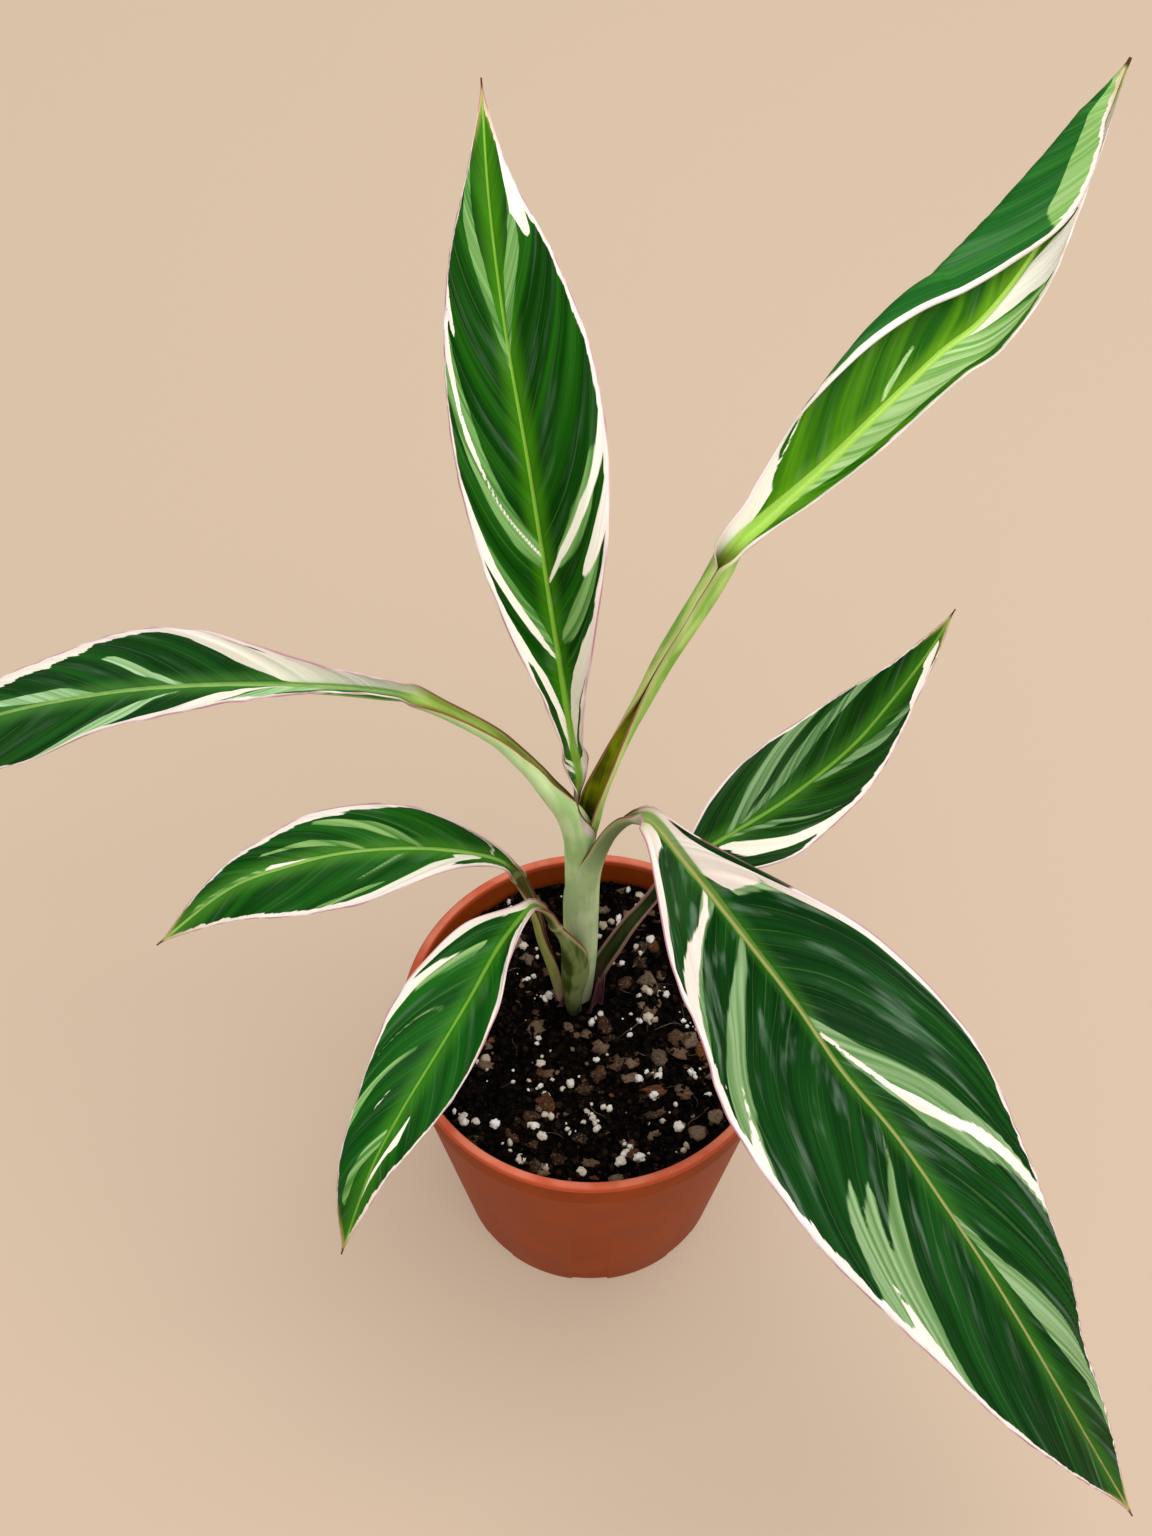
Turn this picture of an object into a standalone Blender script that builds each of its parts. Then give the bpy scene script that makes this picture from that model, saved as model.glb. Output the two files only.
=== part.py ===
"""Potted variegated banana plant.

A young banana plant with seven cream-and-green leaves stands in a 12 cm plastic nursery pot.
Metres, +Z up. The origin is the middle of the pot's underside, and the plant's front is -Y.
"""

import math
import random

import bmesh
import bpy
from mathutils import Matrix, Vector

MM = 0.001
GAP = 0.3 * MM                    # clearance between pieces that touch

# Pot: one thin moulded shell
POT_HEIGHT = 109 * MM
RIM_RADIUS = 60 * MM
BASE_RADIUS = 43 * MM
POT_WALL = 1.2 * MM
LIP_HEIGHT = 3 * MM
COLLAR_HEIGHT = 10 * MM           # straight band under the lip
COLLAR_STEP = 0.9 * MM            # the collar stands out from the wall, and the lip from it
LIP_WIDTH = POT_WALL + 2 * COLLAR_STEP
POT_EDGE = 1 * MM                 # bevel along the lip and the foot
FLOOR_THICKNESS = 4.2 * MM        # at the feet
CHANNEL_HEIGHT = 3 * MM           # drainage channels between the feet
CHANNEL_WIDTH_TOP = 11 * MM
CHANNEL_WIDTH_BOTTOM = 15 * MM
CHANNEL_COUNT = 8
HUB_RADIUS = 22 * MM              # flat disc left in the middle of the underside
DRAIN_RADIUS = 3 * MM
DRAIN_CIRCLE = 30 * MM
POT_STEPS = 48

# Potting mix and what lies on it
SOIL_TOP = POT_HEIGHT - 10 * MM
PERLITE_COUNT = 16
BARK_COUNT = 8
GRAIN_FIELD = 50 * MM             # grains lie within this radius
STEM_CLEARING = 17 * MM           # and outside this one, around the stems

# Pseudostem: rolled leaf sheaths
STEM_FOOT = Vector((1, 15, 0)) * MM
STEM_TOP = Vector((-3, 12, 204)) * MM
STEM_RADIUS = 5.2 * MM

# Leaf blades
BLADE_THICKNESS = 1.0 * MM
STALK_THICKNESS = 2.2 * MM
TIP_HALF_WIDTH = 0.5 * MM
STALK_ROWS = 10
BLADE_ROWS = 18
STALK_OPENS = 0.8                 # share of the stalk after which its gutter opens out
ROUTE_STEPS = 200
ACROSS = 3                        # faces across each half of a blade
ACROSS_ROLLED = 5                 # and across a half that rolls over

# One entry a leaf, in millimetres and degrees. The stalk's route runs into the blade's midrib.
# left and right are the half widths at even steps from the blade's foot to its tip, seen from
# above with the tip pointing away. facing is where the upper side looks, at the stalk's foot,
# the blade's foot and the tip. fold is the rise of both halves from the midrib at the blade's
# foot, middle and tip; the curls are how far each half turns on from there, at even steps.
# A curl_power above 1 keeps a half flat near its midrib and rolls it over near its edge.
LEAVES = {
    "leaf_upright": dict(
        stalk=[(-3, 19, 205), (-4, 19, 222)],
        blade=[(-6, 21, 237), (-11, 33, 273), (-17, 52, 314), (-23, 74, 344), (-27, 97, 368),
               (-29, 123, 385)],
        left=[3.5, 9.5, 15, 18, 19, 17, 12.5, 5],
        right=[3.5, 10, 16, 20, 22, 21, 15, 5.5],
        facing=[(0, -0.8, 0.6), (0, -0.8, 0.6), (0, -0.8, 0.6)],
        fold=[40, 14, 12], curl_left=[30, -10, -15], curl_right=[30, -10, -15],
        stalk_half=2.6, stalk_curl=60),
    "leaf_young": dict(
        stalk=[(4.5, 13.5, 205), (7.5, 17, 232), (15, 23, 253), (27, 34, 275)],
        blade=[(40, 44, 286), (57, 56, 298), (72, 67, 306), (88, 78, 314), (102, 91, 325),
               (117, 106, 344), (130, 122, 364), (140, 136, 380)],
        left=[6.5, 17.5, 24, 27, 29, 27.5, 21.5, 11.5],
        right=[4, 7, 8, 10, 13.5, 15, 13, 8],
        facing=[(-0.5, -0.5, 0.5), (-0.3, -0.7, 0.6), (-0.3, -0.7, 0.6)],
        fold=[35, 20, 20], curl_left=[20, 20, 130, 190, 230], curl_right=[60, 70, 80, 90, 90],
        curl_power=3, stalk_half=4.8, stalk_curl=65),
    "leaf_left": dict(
        stalk=[(-8, 9.5, 205), (-11, 11, 223), (-18, 14, 236), (-28, 17, 246), (-42, 20, 251)],
        blade=[(-53, 23, 252), (-70, 27, 250), (-93, 33, 243), (-117, 38, 235), (-142, 43, 224),
               (-174, 47, 208), (-200, 48, 190), (-221, 47, 167)],
        left=[4, 6, 8, 9.5, 11.5, 16, 15, 9],
        right=[4, 6.5, 13, 17, 16.5, 13, 10, 6],
        facing=[(0.9, -0.2, 0.3), (0, -0.3, 1), (0, -0.4, 1)],
        fold=[45, 10, 6], curl_left=[40, -15, -20], curl_right=[40, -15, -20],
        stalk_half=3.6, stalk_curl=70),
    "leaf_large": dict(
        stalk=[(1.6, 6.6, 150), (1.6, 5.4, 184), (4, 3, 205), (10, 1, 219)],
        blade=[(17, -1, 224), (26, -11, 219), (40, -27, 211), (56, -46, 202), (69, -64, 195),
               (83, -80, 189), (96, -97, 181), (110, -116, 171), (127, -138, 153),
               (153, -160, 108)],
        left=[4, 16, 29, 36, 33, 25, 16.5, 10],
        right=[8, 32, 41, 43.5, 41.5, 34, 23, 11],
        facing=[(-0.7, 0.7, 0.2), (0.1, -0.1, 1), (0.6, -0.1, 1)],
        fold=[35, 12, 8], curl_left=[20, -20, -20], curl_right=[20, -20, -20],
        stalk_half=4.2, stalk_curl=38),
    "leaf_right": dict(
        stalk=[(9, 20, 99.5), (10, 22, 115), (16, 26, 133)],
        blade=[(28, 34, 144), (42, 43, 146), (62, 55, 150), (81, 67, 160), (93, 77, 170),
               (105, 88, 183), (112, 95, 195)],
        left=[3, 15.5, 19, 18.5, 17, 14.5, 9, 4.5],
        right=[3, 15, 18, 16, 14, 10, 6, 3],
        facing=[(-0.6, -0.5, 0.6), (-0.3, -0.6, 1), (-0.3, -0.6, 1)],
        fold=[30, 14, 8], curl_left=[10, -20, -20], curl_right=[10, -20, -20],
        stalk_half=2.6, stalk_curl=60),
    "leaf_lower_left": dict(
        stalk=[(-12, 14, 99.5), (-14, 16, 119), (-17, 19, 138), (-21, 21, 154)],
        blade=[(-25, 22, 163), (-34, 23, 168), (-52, 24, 170), (-73, 22, 171), (-90, 18, 170),
               (-109, 12, 166), (-132, 3, 148)],
        left=[2.5, 6, 12, 16, 16.5, 14.5, 10, 4.5],
        right=[3, 9, 13, 14, 13.5, 10, 6.5, 3.5],
        facing=[(0.8, -0.3, 0.3), (-0.1, -0.5, 1), (-0.1, -0.5, 1)],
        fold=[40, 12, 8], curl_left=[20, -20, -20], curl_right=[20, -20, -20],
        stalk_half=2.4, stalk_curl=60),
    "leaf_front": dict(
        stalk=[(-5.5, 6, 99.5), (-5, 4, 132), (-7.5, 2, 155), (-12, 0.5, 169)],
        blade=[(-16, -1, 173), (-26, -9, 169), (-36, -23, 162), (-45, -37, 156), (-56, -54, 149),
               (-65, -67, 137), (-75, -80, 107)],
        left=[3, 7, 10.5, 11.5, 11, 8.5, 5, 2.5],
        right=[3, 14, 18, 18.5, 16, 12.5, 9, 5],
        facing=[(0.4, 0.8, 0.3), (-0.1, -0.2, 1), (0.3, -0.2, 1)],
        fold=[35, 12, 8], curl_left=[20, -20, -20], curl_right=[20, -20, -20],
        stalk_half=3.2, stalk_curl=60),
}


def clear_scene():
    for old in list(bpy.data.objects):
        bpy.data.objects.remove(old, do_unlink=True)


def material(name, color, roughness, metallic=0.0):
    mat = bpy.data.materials.new(name)
    mat.use_nodes = True
    shader = mat.node_tree.nodes["Principled BSDF"]
    shader.inputs["Base Color"].default_value = (*color, 1.0)
    shader.inputs["Roughness"].default_value = roughness
    shader.inputs["Metallic"].default_value = metallic
    return mat


def add_object(name, bm, mat, smooth_angle=None):
    """Turn a bmesh into a named object with its own material."""
    mesh = bpy.data.meshes.new(name)
    bm.to_mesh(mesh)
    bm.free()
    mesh.materials.append(mat)
    if smooth_angle is not None:
        mesh.shade_smooth()
        mesh.set_sharp_from_angle(angle=math.radians(smooth_angle))
    obj = bpy.data.objects.new(name, mesh)
    bpy.context.collection.objects.link(obj)
    return obj


def wall_radius(z):
    """Outer radius of the pot's tapered wall at height z."""
    collar_foot = POT_HEIGHT - LIP_HEIGHT - COLLAR_HEIGHT
    top_radius = RIM_RADIUS - 2 * COLLAR_STEP
    return BASE_RADIUS + (top_radius - BASE_RADIUS) * z / collar_foot


def pot_profile():
    """Closed outline of the shell from the middle of the underside, up the outside and back."""
    collar_top = POT_HEIGHT - LIP_HEIGHT
    collar_foot = collar_top - COLLAR_HEIGHT
    collar_radius = RIM_RADIUS - COLLAR_STEP
    inner_lip = RIM_RADIUS - LIP_WIDTH
    return [
        (0, 0),
        (BASE_RADIUS - POT_EDGE, 0),
        (wall_radius(POT_EDGE), POT_EDGE),
        (wall_radius(collar_foot), collar_foot),
        (collar_radius, collar_foot + COLLAR_STEP),
        (collar_radius, collar_top),
        (RIM_RADIUS, collar_top + COLLAR_STEP),
        (RIM_RADIUS, POT_HEIGHT - POT_EDGE),
        (RIM_RADIUS - POT_EDGE, POT_HEIGHT),
        (inner_lip + POT_EDGE, POT_HEIGHT),
        (inner_lip, POT_HEIGHT - POT_EDGE),
        (inner_lip, collar_foot),
        (wall_radius(FLOOR_THICKNESS) - POT_WALL, FLOOR_THICKNESS),
        (0, FLOOR_THICKNESS),
    ]


def channel_cutters():
    """Radial drainage channels under the floor, each with a round drain hole through it."""
    bm = bmesh.new()
    for index in range(CHANNEL_COUNT):
        turn = Matrix.Rotation(math.tau * index / CHANNEL_COUNT, 4, "Z")
        corners = [
            (CHANNEL_WIDTH_BOTTOM / 2, -1 * MM),
            (CHANNEL_WIDTH_TOP / 2, CHANNEL_HEIGHT),
            (-CHANNEL_WIDTH_TOP / 2, CHANNEL_HEIGHT),
            (-CHANNEL_WIDTH_BOTTOM / 2, -1 * MM),
        ]
        ends = []
        inner_end = (HUB_RADIUS, HUB_RADIUS / BASE_RADIUS)
        outer_end = (BASE_RADIUS + 5 * MM, 1.0)
        for reach, widen in (inner_end, outer_end):
            ring = [bm.verts.new(turn @ Vector((x * widen, -reach, z))) for x, z in corners]
            ends.append(ring)
        bm.faces.new(ends[0])
        bm.faces.new(reversed(ends[1]))
        for i in range(4):
            j = (i + 1) % 4
            bm.faces.new((ends[0][i], ends[1][i], ends[1][j], ends[0][j]))
        hole_at = turn @ Matrix.Translation((0, -DRAIN_CIRCLE, CHANNEL_HEIGHT))
        bmesh.ops.create_cone(bm, cap_ends=True, segments=12, radius1=DRAIN_RADIUS,
                              radius2=DRAIN_RADIUS, depth=6 * MM, matrix=hole_at)
    bmesh.ops.recalc_face_normals(bm, faces=bm.faces)
    return bm


def cut(obj, cutter):
    modifier = obj.modifiers.new("cut", "BOOLEAN")
    modifier.object = cutter
    modifier.operation = "DIFFERENCE"
    modifier.solver = "EXACT"
    modifier.use_self = True
    cutter.hide_render = True
    cutter.display_type = "WIRE"


def build_pot():
    bm = bmesh.new()
    verts = [bm.verts.new((r, 0, z)) for r, z in pot_profile()]
    edges = [bm.edges.new(pair) for pair in zip(verts, verts[1:])]
    bmesh.ops.spin(bm, geom=verts + edges, cent=(0, 0, 0), axis=(0, 0, 1), angle=math.tau,
                   steps=POT_STEPS, use_merge=True)
    bmesh.ops.remove_doubles(bm, verts=bm.verts, dist=0.01 * MM)
    bmesh.ops.recalc_face_normals(bm, faces=bm.faces)
    terracotta = material("pot_plastic", (0.40, 0.075, 0.026), 0.42)
    pot = add_object("pot", bm, terracotta, smooth_angle=40)
    cut(pot, add_object("channel_cutters", channel_cutters(), terracotta))


def build_soil():
    """The root ball: one dark mass that fills the pot up to the watering space."""
    foot_z = FLOOR_THICKNESS + GAP
    bm = bmesh.new()
    bmesh.ops.create_cone(bm, cap_ends=True, segments=POT_STEPS,
                          radius1=wall_radius(foot_z) - POT_WALL - 2 * GAP,
                          radius2=RIM_RADIUS - LIP_WIDTH - 3 * GAP,
                          depth=SOIL_TOP - foot_z,
                          matrix=Matrix.Translation((0, 0, (SOIL_TOP + foot_z) / 2)))
    add_object("soil", bm, material("potting_mix", (0.018, 0.012, 0.009), 0.95), smooth_angle=40)


def grain_places(count, radius, taken):
    """Places on the mix, clear of the stems and of each other. Repeatable."""
    rng = random.Random(count * 7 + 3)
    places = []
    while len(places) < count:
        reach = GRAIN_FIELD * math.sqrt(rng.random())
        angle = rng.random() * math.tau
        spot = Vector((reach * math.cos(angle), reach * math.sin(angle), 0))
        if (spot - STEM_FOOT).length < STEM_CLEARING:
            continue
        if any((spot - other).length < radius + size + GAP for other, size in taken):
            continue
        places.append(spot)
        taken.append((spot, radius))
    return places


def build_grain(name, spot, size, mat, rng):
    """One lump that rests on the mix. Its corners are pushed in and out a little."""
    bm = bmesh.new()
    bmesh.ops.create_icosphere(bm, subdivisions=1, radius=0.5)
    for vert in bm.verts:
        vert.co *= rng.uniform(0.86, 1.0)
    bmesh.ops.scale(bm, vec=size, verts=bm.verts)
    bmesh.ops.rotate(bm, matrix=Matrix.Rotation(rng.random() * math.tau, 3, "Z"), verts=bm.verts)
    lowest = min(vert.co.z for vert in bm.verts)
    rest = Vector((spot.x, spot.y, SOIL_TOP + GAP - lowest))
    bmesh.ops.translate(bm, vec=rest, verts=bm.verts)
    add_object(name, bm, mat)


def build_grains():
    rng = random.Random(12)
    taken = []
    white = material("perlite_white", (0.80, 0.78, 0.74), 0.9)
    brown = material("bark_brown", (0.12, 0.07, 0.045), 0.85)
    for index, spot in enumerate(grain_places(BARK_COUNT, 4.5 * MM, taken)):
        size = Vector((rng.uniform(6.5, 9), rng.uniform(4, 6), rng.uniform(2, 3))) * MM
        build_grain(f"bark_{index + 1:02d}", spot, size, brown, rng)
    for index, spot in enumerate(grain_places(PERLITE_COUNT, 2.4 * MM, taken)):
        size = Vector((rng.uniform(3.4, 4.6), rng.uniform(3, 4.2), rng.uniform(2.4, 3.2))) * MM
        build_grain(f"perlite_{index + 1:02d}", spot, size, white, rng)


def build_stem():
    """The pseudostem: a slender trunk of rolled sheaths, flat at the top where stalks part."""
    curve = bpy.data.curves.new("pseudostem", "CURVE")
    curve.dimensions = "3D"
    curve.bevel_depth = STEM_RADIUS
    curve.bevel_resolution = 4
    curve.use_fill_caps = True
    foot = STEM_FOOT + Vector((0, 0, SOIL_TOP + GAP))
    points = [
        (foot, 1.15),
        (foot + Vector((0, 0, 12 * MM)), 1.05),
        (foot.lerp(STEM_TOP, 0.5), 1.0),
        (Vector((STEM_TOP.x, STEM_TOP.y, STEM_TOP.z - 10 * MM)), 1.0),
        (STEM_TOP, 1.0),
    ]
    spline = curve.splines.new("POLY")
    spline.points.add(len(points) - 1)
    for point, (place, girth) in zip(spline.points, points):
        point.co = (*place, 1.0)
        point.radius = girth
    curve.materials.append(material("sheath_green", (0.25, 0.32, 0.15), 0.5))
    stem = bpy.data.objects.new("pseudostem", curve)
    bpy.context.collection.objects.link(stem)


def smooth_route(points, rows):
    """Even steps along a smooth curve through the route's points."""
    ends = [2 * points[0] - points[1], *points, 2 * points[-1] - points[-2]]
    fine = []
    for a, b, c, d in zip(ends, ends[1:], ends[2:], ends[3:]):
        for step in range(16):
            t = step / 16
            fine.append(0.5 * ((2 * b) + (c - a) * t + (2 * a - 5 * b + 4 * c - d) * t * t
                               + (3 * b - a - 3 * c + d) * t ** 3))
    fine.append(points[-1])
    reach = [0.0]
    for a, b in zip(fine, fine[1:]):
        reach.append(reach[-1] + (b - a).length)
    route = []
    index = 0
    for row in range(rows + 1):
        target = reach[-1] * row / rows
        while index < len(fine) - 2 and reach[index + 1] < target:
            index += 1
        part = (target - reach[index]) / (reach[index + 1] - reach[index])
        route.append(fine[index].lerp(fine[index + 1], min(part, 1.0)))
    return route


def along(values, t):
    """The value at t, from 0 to 1, of a smooth run through evenly spaced values."""
    place = min(max(t, 0.0), 1.0) * (len(values) - 1)
    index = min(int(place), len(values) - 2)
    part = place - index
    before = values[max(index - 1, 0)]
    a, b = values[index], values[index + 1]
    after = values[min(index + 2, len(values) - 1)]
    return 0.5 * ((2 * a) + (b - before) * part + (2 * before - 5 * a + 4 * b - after) * part ** 2
                  + (3 * a - before - 3 * b + after) * part ** 3)


def half_section(width, fold, curl, power, reach):
    """Place across a half: distance out and height at reach, from 0 at the midrib to 1."""
    steps = 8
    out = height = 0.0
    for step in range(steps):
        angle = math.radians(fold + curl * (reach * (step + 0.5) / steps) ** power)
        out += math.cos(angle) * width * reach / steps
        height += math.sin(angle) * width * reach / steps
    return out, height


def stalk_section(leaf, t, reach):
    """Facing, and place across one side, at t along the stalk: a gutter that widens out."""
    foot, top, _ = (Vector(facing) for facing in leaf["facing"])
    opening = max(0.0, t - STALK_OPENS) / (1 - STALK_OPENS)
    fold = opening * leaf["fold"][0]
    curl = leaf["stalk_curl"] + opening * (leaf["curl_left"][0] - leaf["stalk_curl"])
    return foot.lerp(top, t), half_section(leaf["stalk_half"] * MM, fold, curl, 1, reach)


def blade_section(leaf, t, side, reach):
    """Facing, and place across one half, at t along the blade."""
    _, foot, tip = (Vector(facing) for facing in leaf["facing"])
    width = max(along([*leaf[side], 0], t) * MM, TIP_HALF_WIDTH)
    fold = along(leaf["fold"], t)
    curl = along(leaf["curl_" + side], t)
    power = leaf.get("curl_power", 1)
    return foot.lerp(tip, t), half_section(width, fold, curl, power, reach)


def build_leaf(name, leaf, mat, across):
    """A stalk with a channel along its upper side that opens out into a thin blade."""
    stalk = [Vector(p) * MM for p in leaf["stalk"]]
    blade = [Vector(p) * MM for p in leaf["blade"]]
    fine = smooth_route(stalk + blade, ROUTE_STEPS)
    blade_foot = min(range(ROUTE_STEPS + 1), key=lambda step: (fine[step] - blade[0]).length)
    rows = STALK_ROWS + BLADE_ROWS
    bm = bmesh.new()
    bmesh.ops.create_grid(bm, x_segments=2 * across, y_segments=rows, size=0.5)
    thickness_weight = bm.verts.layers.deform.new()
    for vert in bm.verts:
        side = "left" if vert.co.x < 0 else "right"
        sign = -1 if vert.co.x < 0 else 1
        reach = abs(vert.co.x) * 2
        row = round((vert.co.y + 0.5) * rows)
        if row < STALK_ROWS:
            place = blade_foot * row / STALK_ROWS
            facing, (out, height) = stalk_section(leaf, row / STALK_ROWS, reach)
            weight = 1.0
        else:
            t = (row - STALK_ROWS) / BLADE_ROWS
            place = blade_foot + (ROUTE_STEPS - blade_foot) * t
            facing, (out, height) = blade_section(leaf, t, side, reach)
            weight = max(BLADE_THICKNESS / STALK_THICKNESS, 1.0 - 4 * t)
        step = min(int(place), ROUTE_STEPS - 1)
        middle = fine[step].lerp(fine[step + 1], place - step)
        ahead = (fine[min(step + 2, ROUTE_STEPS)] - fine[max(step - 2, 0)]).normalized()
        normal = (facing - ahead * facing.dot(ahead)).normalized()
        vert.co = middle + ahead.cross(normal) * (sign * out) + normal * height
        vert[thickness_weight][0] = weight
    bmesh.ops.recalc_face_normals(bm, faces=bm.faces)
    obj = add_object(name, bm, mat, smooth_angle=60)
    obj.vertex_groups.new(name="thickness")
    shell = obj.modifiers.new("thickness", "SOLIDIFY")
    shell.thickness = STALK_THICKNESS
    shell.offset = -1.0
    shell.vertex_group = "thickness"


def build_leaves():
    green = material("leaf_green", (0.05, 0.17, 0.03), 0.45)
    for name, leaf in LEAVES.items():
        rolled = "curl_power" in leaf
        build_leaf(name, leaf, green, ACROSS_ROLLED if rolled else ACROSS)


clear_scene()
build_pot()
build_soil()
build_grains()
build_stem()
build_leaves()
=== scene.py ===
import math
import random

import bmesh
import bpy
from mathutils import Matrix, Vector, noise


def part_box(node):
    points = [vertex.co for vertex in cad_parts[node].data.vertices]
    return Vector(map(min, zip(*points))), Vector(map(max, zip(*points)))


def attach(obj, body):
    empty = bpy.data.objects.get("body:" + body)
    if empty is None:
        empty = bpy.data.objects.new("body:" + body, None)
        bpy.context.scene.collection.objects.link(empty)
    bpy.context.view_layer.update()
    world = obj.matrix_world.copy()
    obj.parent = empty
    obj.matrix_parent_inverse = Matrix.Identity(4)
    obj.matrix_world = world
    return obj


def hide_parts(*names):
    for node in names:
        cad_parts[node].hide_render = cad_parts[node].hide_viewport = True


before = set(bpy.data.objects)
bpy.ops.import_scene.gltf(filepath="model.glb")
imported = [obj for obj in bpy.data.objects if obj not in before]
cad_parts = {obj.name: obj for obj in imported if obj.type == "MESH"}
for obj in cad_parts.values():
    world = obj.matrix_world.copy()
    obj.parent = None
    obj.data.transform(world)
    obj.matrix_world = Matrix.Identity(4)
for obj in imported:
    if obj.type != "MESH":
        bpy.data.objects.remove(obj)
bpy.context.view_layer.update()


# ---------------------------------------------------------------- the view
# The plant stands on a plain sand-coloured studio sweep under soft light from above.
# The camera looks down on it steeply from the front, with a short portrait lens.

MM = 0.001


def paint(red, green, blue):
    """A colour given as it looks on a screen, 0 to 255, turned into the linear one."""
    return tuple(((c / 255 + 0.055) / 1.055) ** 2.4 if c > 10 else c / 255 / 12.92
                 for c in (red, green, blue))


def plain_material(name, color, roughness):
    mat = bpy.data.materials.new(name)
    mat.use_nodes = True
    shader = mat.node_tree.nodes["Principled BSDF"]
    shader.inputs["Base Color"].default_value = (*color, 1)
    shader.inputs["Roughness"].default_value = roughness
    return mat, mat.node_tree, shader


def piece_from(name, bm, *mats):
    """A finished bmesh becomes a smooth-shaded object with its materials."""
    mesh = bpy.data.meshes.new(name)
    bm.to_mesh(mesh)
    bm.free()
    for mat in mats:
        mesh.materials.append(mat)
    mesh.shade_smooth()
    piece = bpy.data.objects.new(name, mesh)
    bpy.context.collection.objects.link(piece)
    return piece


camera = bpy.data.cameras.new("camera")
camera.lens = 65
camera.sensor_width = 36
camera.clip_end = 20
camera_object = bpy.data.objects.new("camera", camera)
camera_object.location = (-0.0047, -0.4156, 0.8806)
camera_object.rotation_euler = (math.radians(33.4), 0, 0)
bpy.context.collection.objects.link(camera_object)
bpy.context.scene.camera = camera_object
bpy.context.scene.view_settings.view_transform = "Standard"

sand, _, sand_shader = plain_material("studio_sand", paint(158, 140, 122), 0.95)
sand_shader.inputs["Specular IOR Level"].default_value = 0.1
sand_shader.inputs["Emission Color"].default_value = (*paint(219, 195, 171), 1)
sand_shader.inputs["Emission Strength"].default_value = 0.45
bm = bmesh.new()
bmesh.ops.create_grid(bm, x_segments=1, y_segments=1, size=6)
floor = piece_from("studio_floor", bm, sand)

PLANT_MIDDLE = Vector((0, 0, 0.15))
for name, place, size, power in (("light_overhead", (0.5, 0.1, 2.0), 1.6, 30),
                                 ("light_front", (0.9, -1.5, 1.5), 1.4, 11)):
    lamp = bpy.data.lights.new(name, "AREA")
    lamp.size = size
    lamp.energy = power
    lamp_object = bpy.data.objects.new(name, lamp)
    lamp_object.location = place
    aim = PLANT_MIDDLE - Vector(place)
    lamp_object.rotation_euler = aim.to_track_quat("-Z", "Y").to_euler()
    bpy.context.collection.objects.link(lamp_object)

sky = bpy.data.worlds.new("studio_air")
sky.use_nodes = True
air = sky.node_tree.nodes["Background"]
air.inputs["Color"].default_value = (1.0, 0.985, 0.96, 1)
air.inputs["Strength"].default_value = 0.56
bpy.context.scene.world = sky


# ---------------------------------------------------------------- pot
# A 12 cm nursery pot: one thin shell moulded in terracotta-coloured polypropylene. It has a
# rolled lip, a collar band and drainage channels that leave feet round its base.

_, pot_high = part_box("pot")
POT_HEIGHT = pot_high[2] / MM
RIM_RADIUS = pot_high[0] / MM
BASE_RADIUS = 43.0                 # sizes from here on are in millimetres
WALL = 1.2
STEP = 0.9                         # the collar stands out from the wall, the lip from the collar
LIP_FOOT = POT_HEIGHT - 3.0
COLLAR_FOOT = LIP_FOOT - 10.0
POT_FLOOR = 4.2
POT_STEPS = 168
CHANNELS = 8
CHANNEL_HEIGHT = 3.0
CHANNEL_HALF, CHANNEL_FOOT_HALF = 5.5, 7.2      # half its width at the base's edge, top and foot
CHANNEL_INNER, CHANNEL_OUTER = 22.0, 48.0       # where it starts and ends, from the axis
HOLE_RADIUS = 3.0
HOLE_REACH = 30.0                               # from the axis to a drain hole


def turned(outline, rounds, steps):
    """Spins a closed outline of (radius, height) round Z. rounds gives the bevel of a corner."""
    bm = bmesh.new()
    corners = [bm.verts.new((radius * MM, 0, height * MM)) for radius, height in outline]
    bm.faces.new(corners)
    for corner, size in rounds.items():
        bmesh.ops.bevel(bm, geom=[corners[corner]], offset=size * MM, offset_type="OFFSET",
                        affect="VERTICES", segments=5, profile=0.5, material=-1)
    bmesh.ops.delete(bm, geom=bm.faces[:], context="FACES_ONLY")
    axis_edges = [e for e in bm.edges if all(v.co.x < 0.001 * MM for v in e.verts)]
    bmesh.ops.delete(bm, geom=axis_edges, context="EDGES")
    bmesh.ops.spin(bm, geom=bm.verts[:] + bm.edges[:], cent=(0, 0, 0), axis=(0, 0, 1),
                   angle=math.tau, steps=steps, use_merge=True)
    bmesh.ops.remove_doubles(bm, verts=bm.verts, dist=0.005 * MM)
    bmesh.ops.recalc_face_normals(bm, faces=bm.faces)
    return bm


def pot_wall(height):
    """Outer radius of the tapered wall."""
    return BASE_RADIUS + (RIM_RADIUS - 2 * STEP - BASE_RADIUS) * height / COLLAR_FOOT


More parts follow.
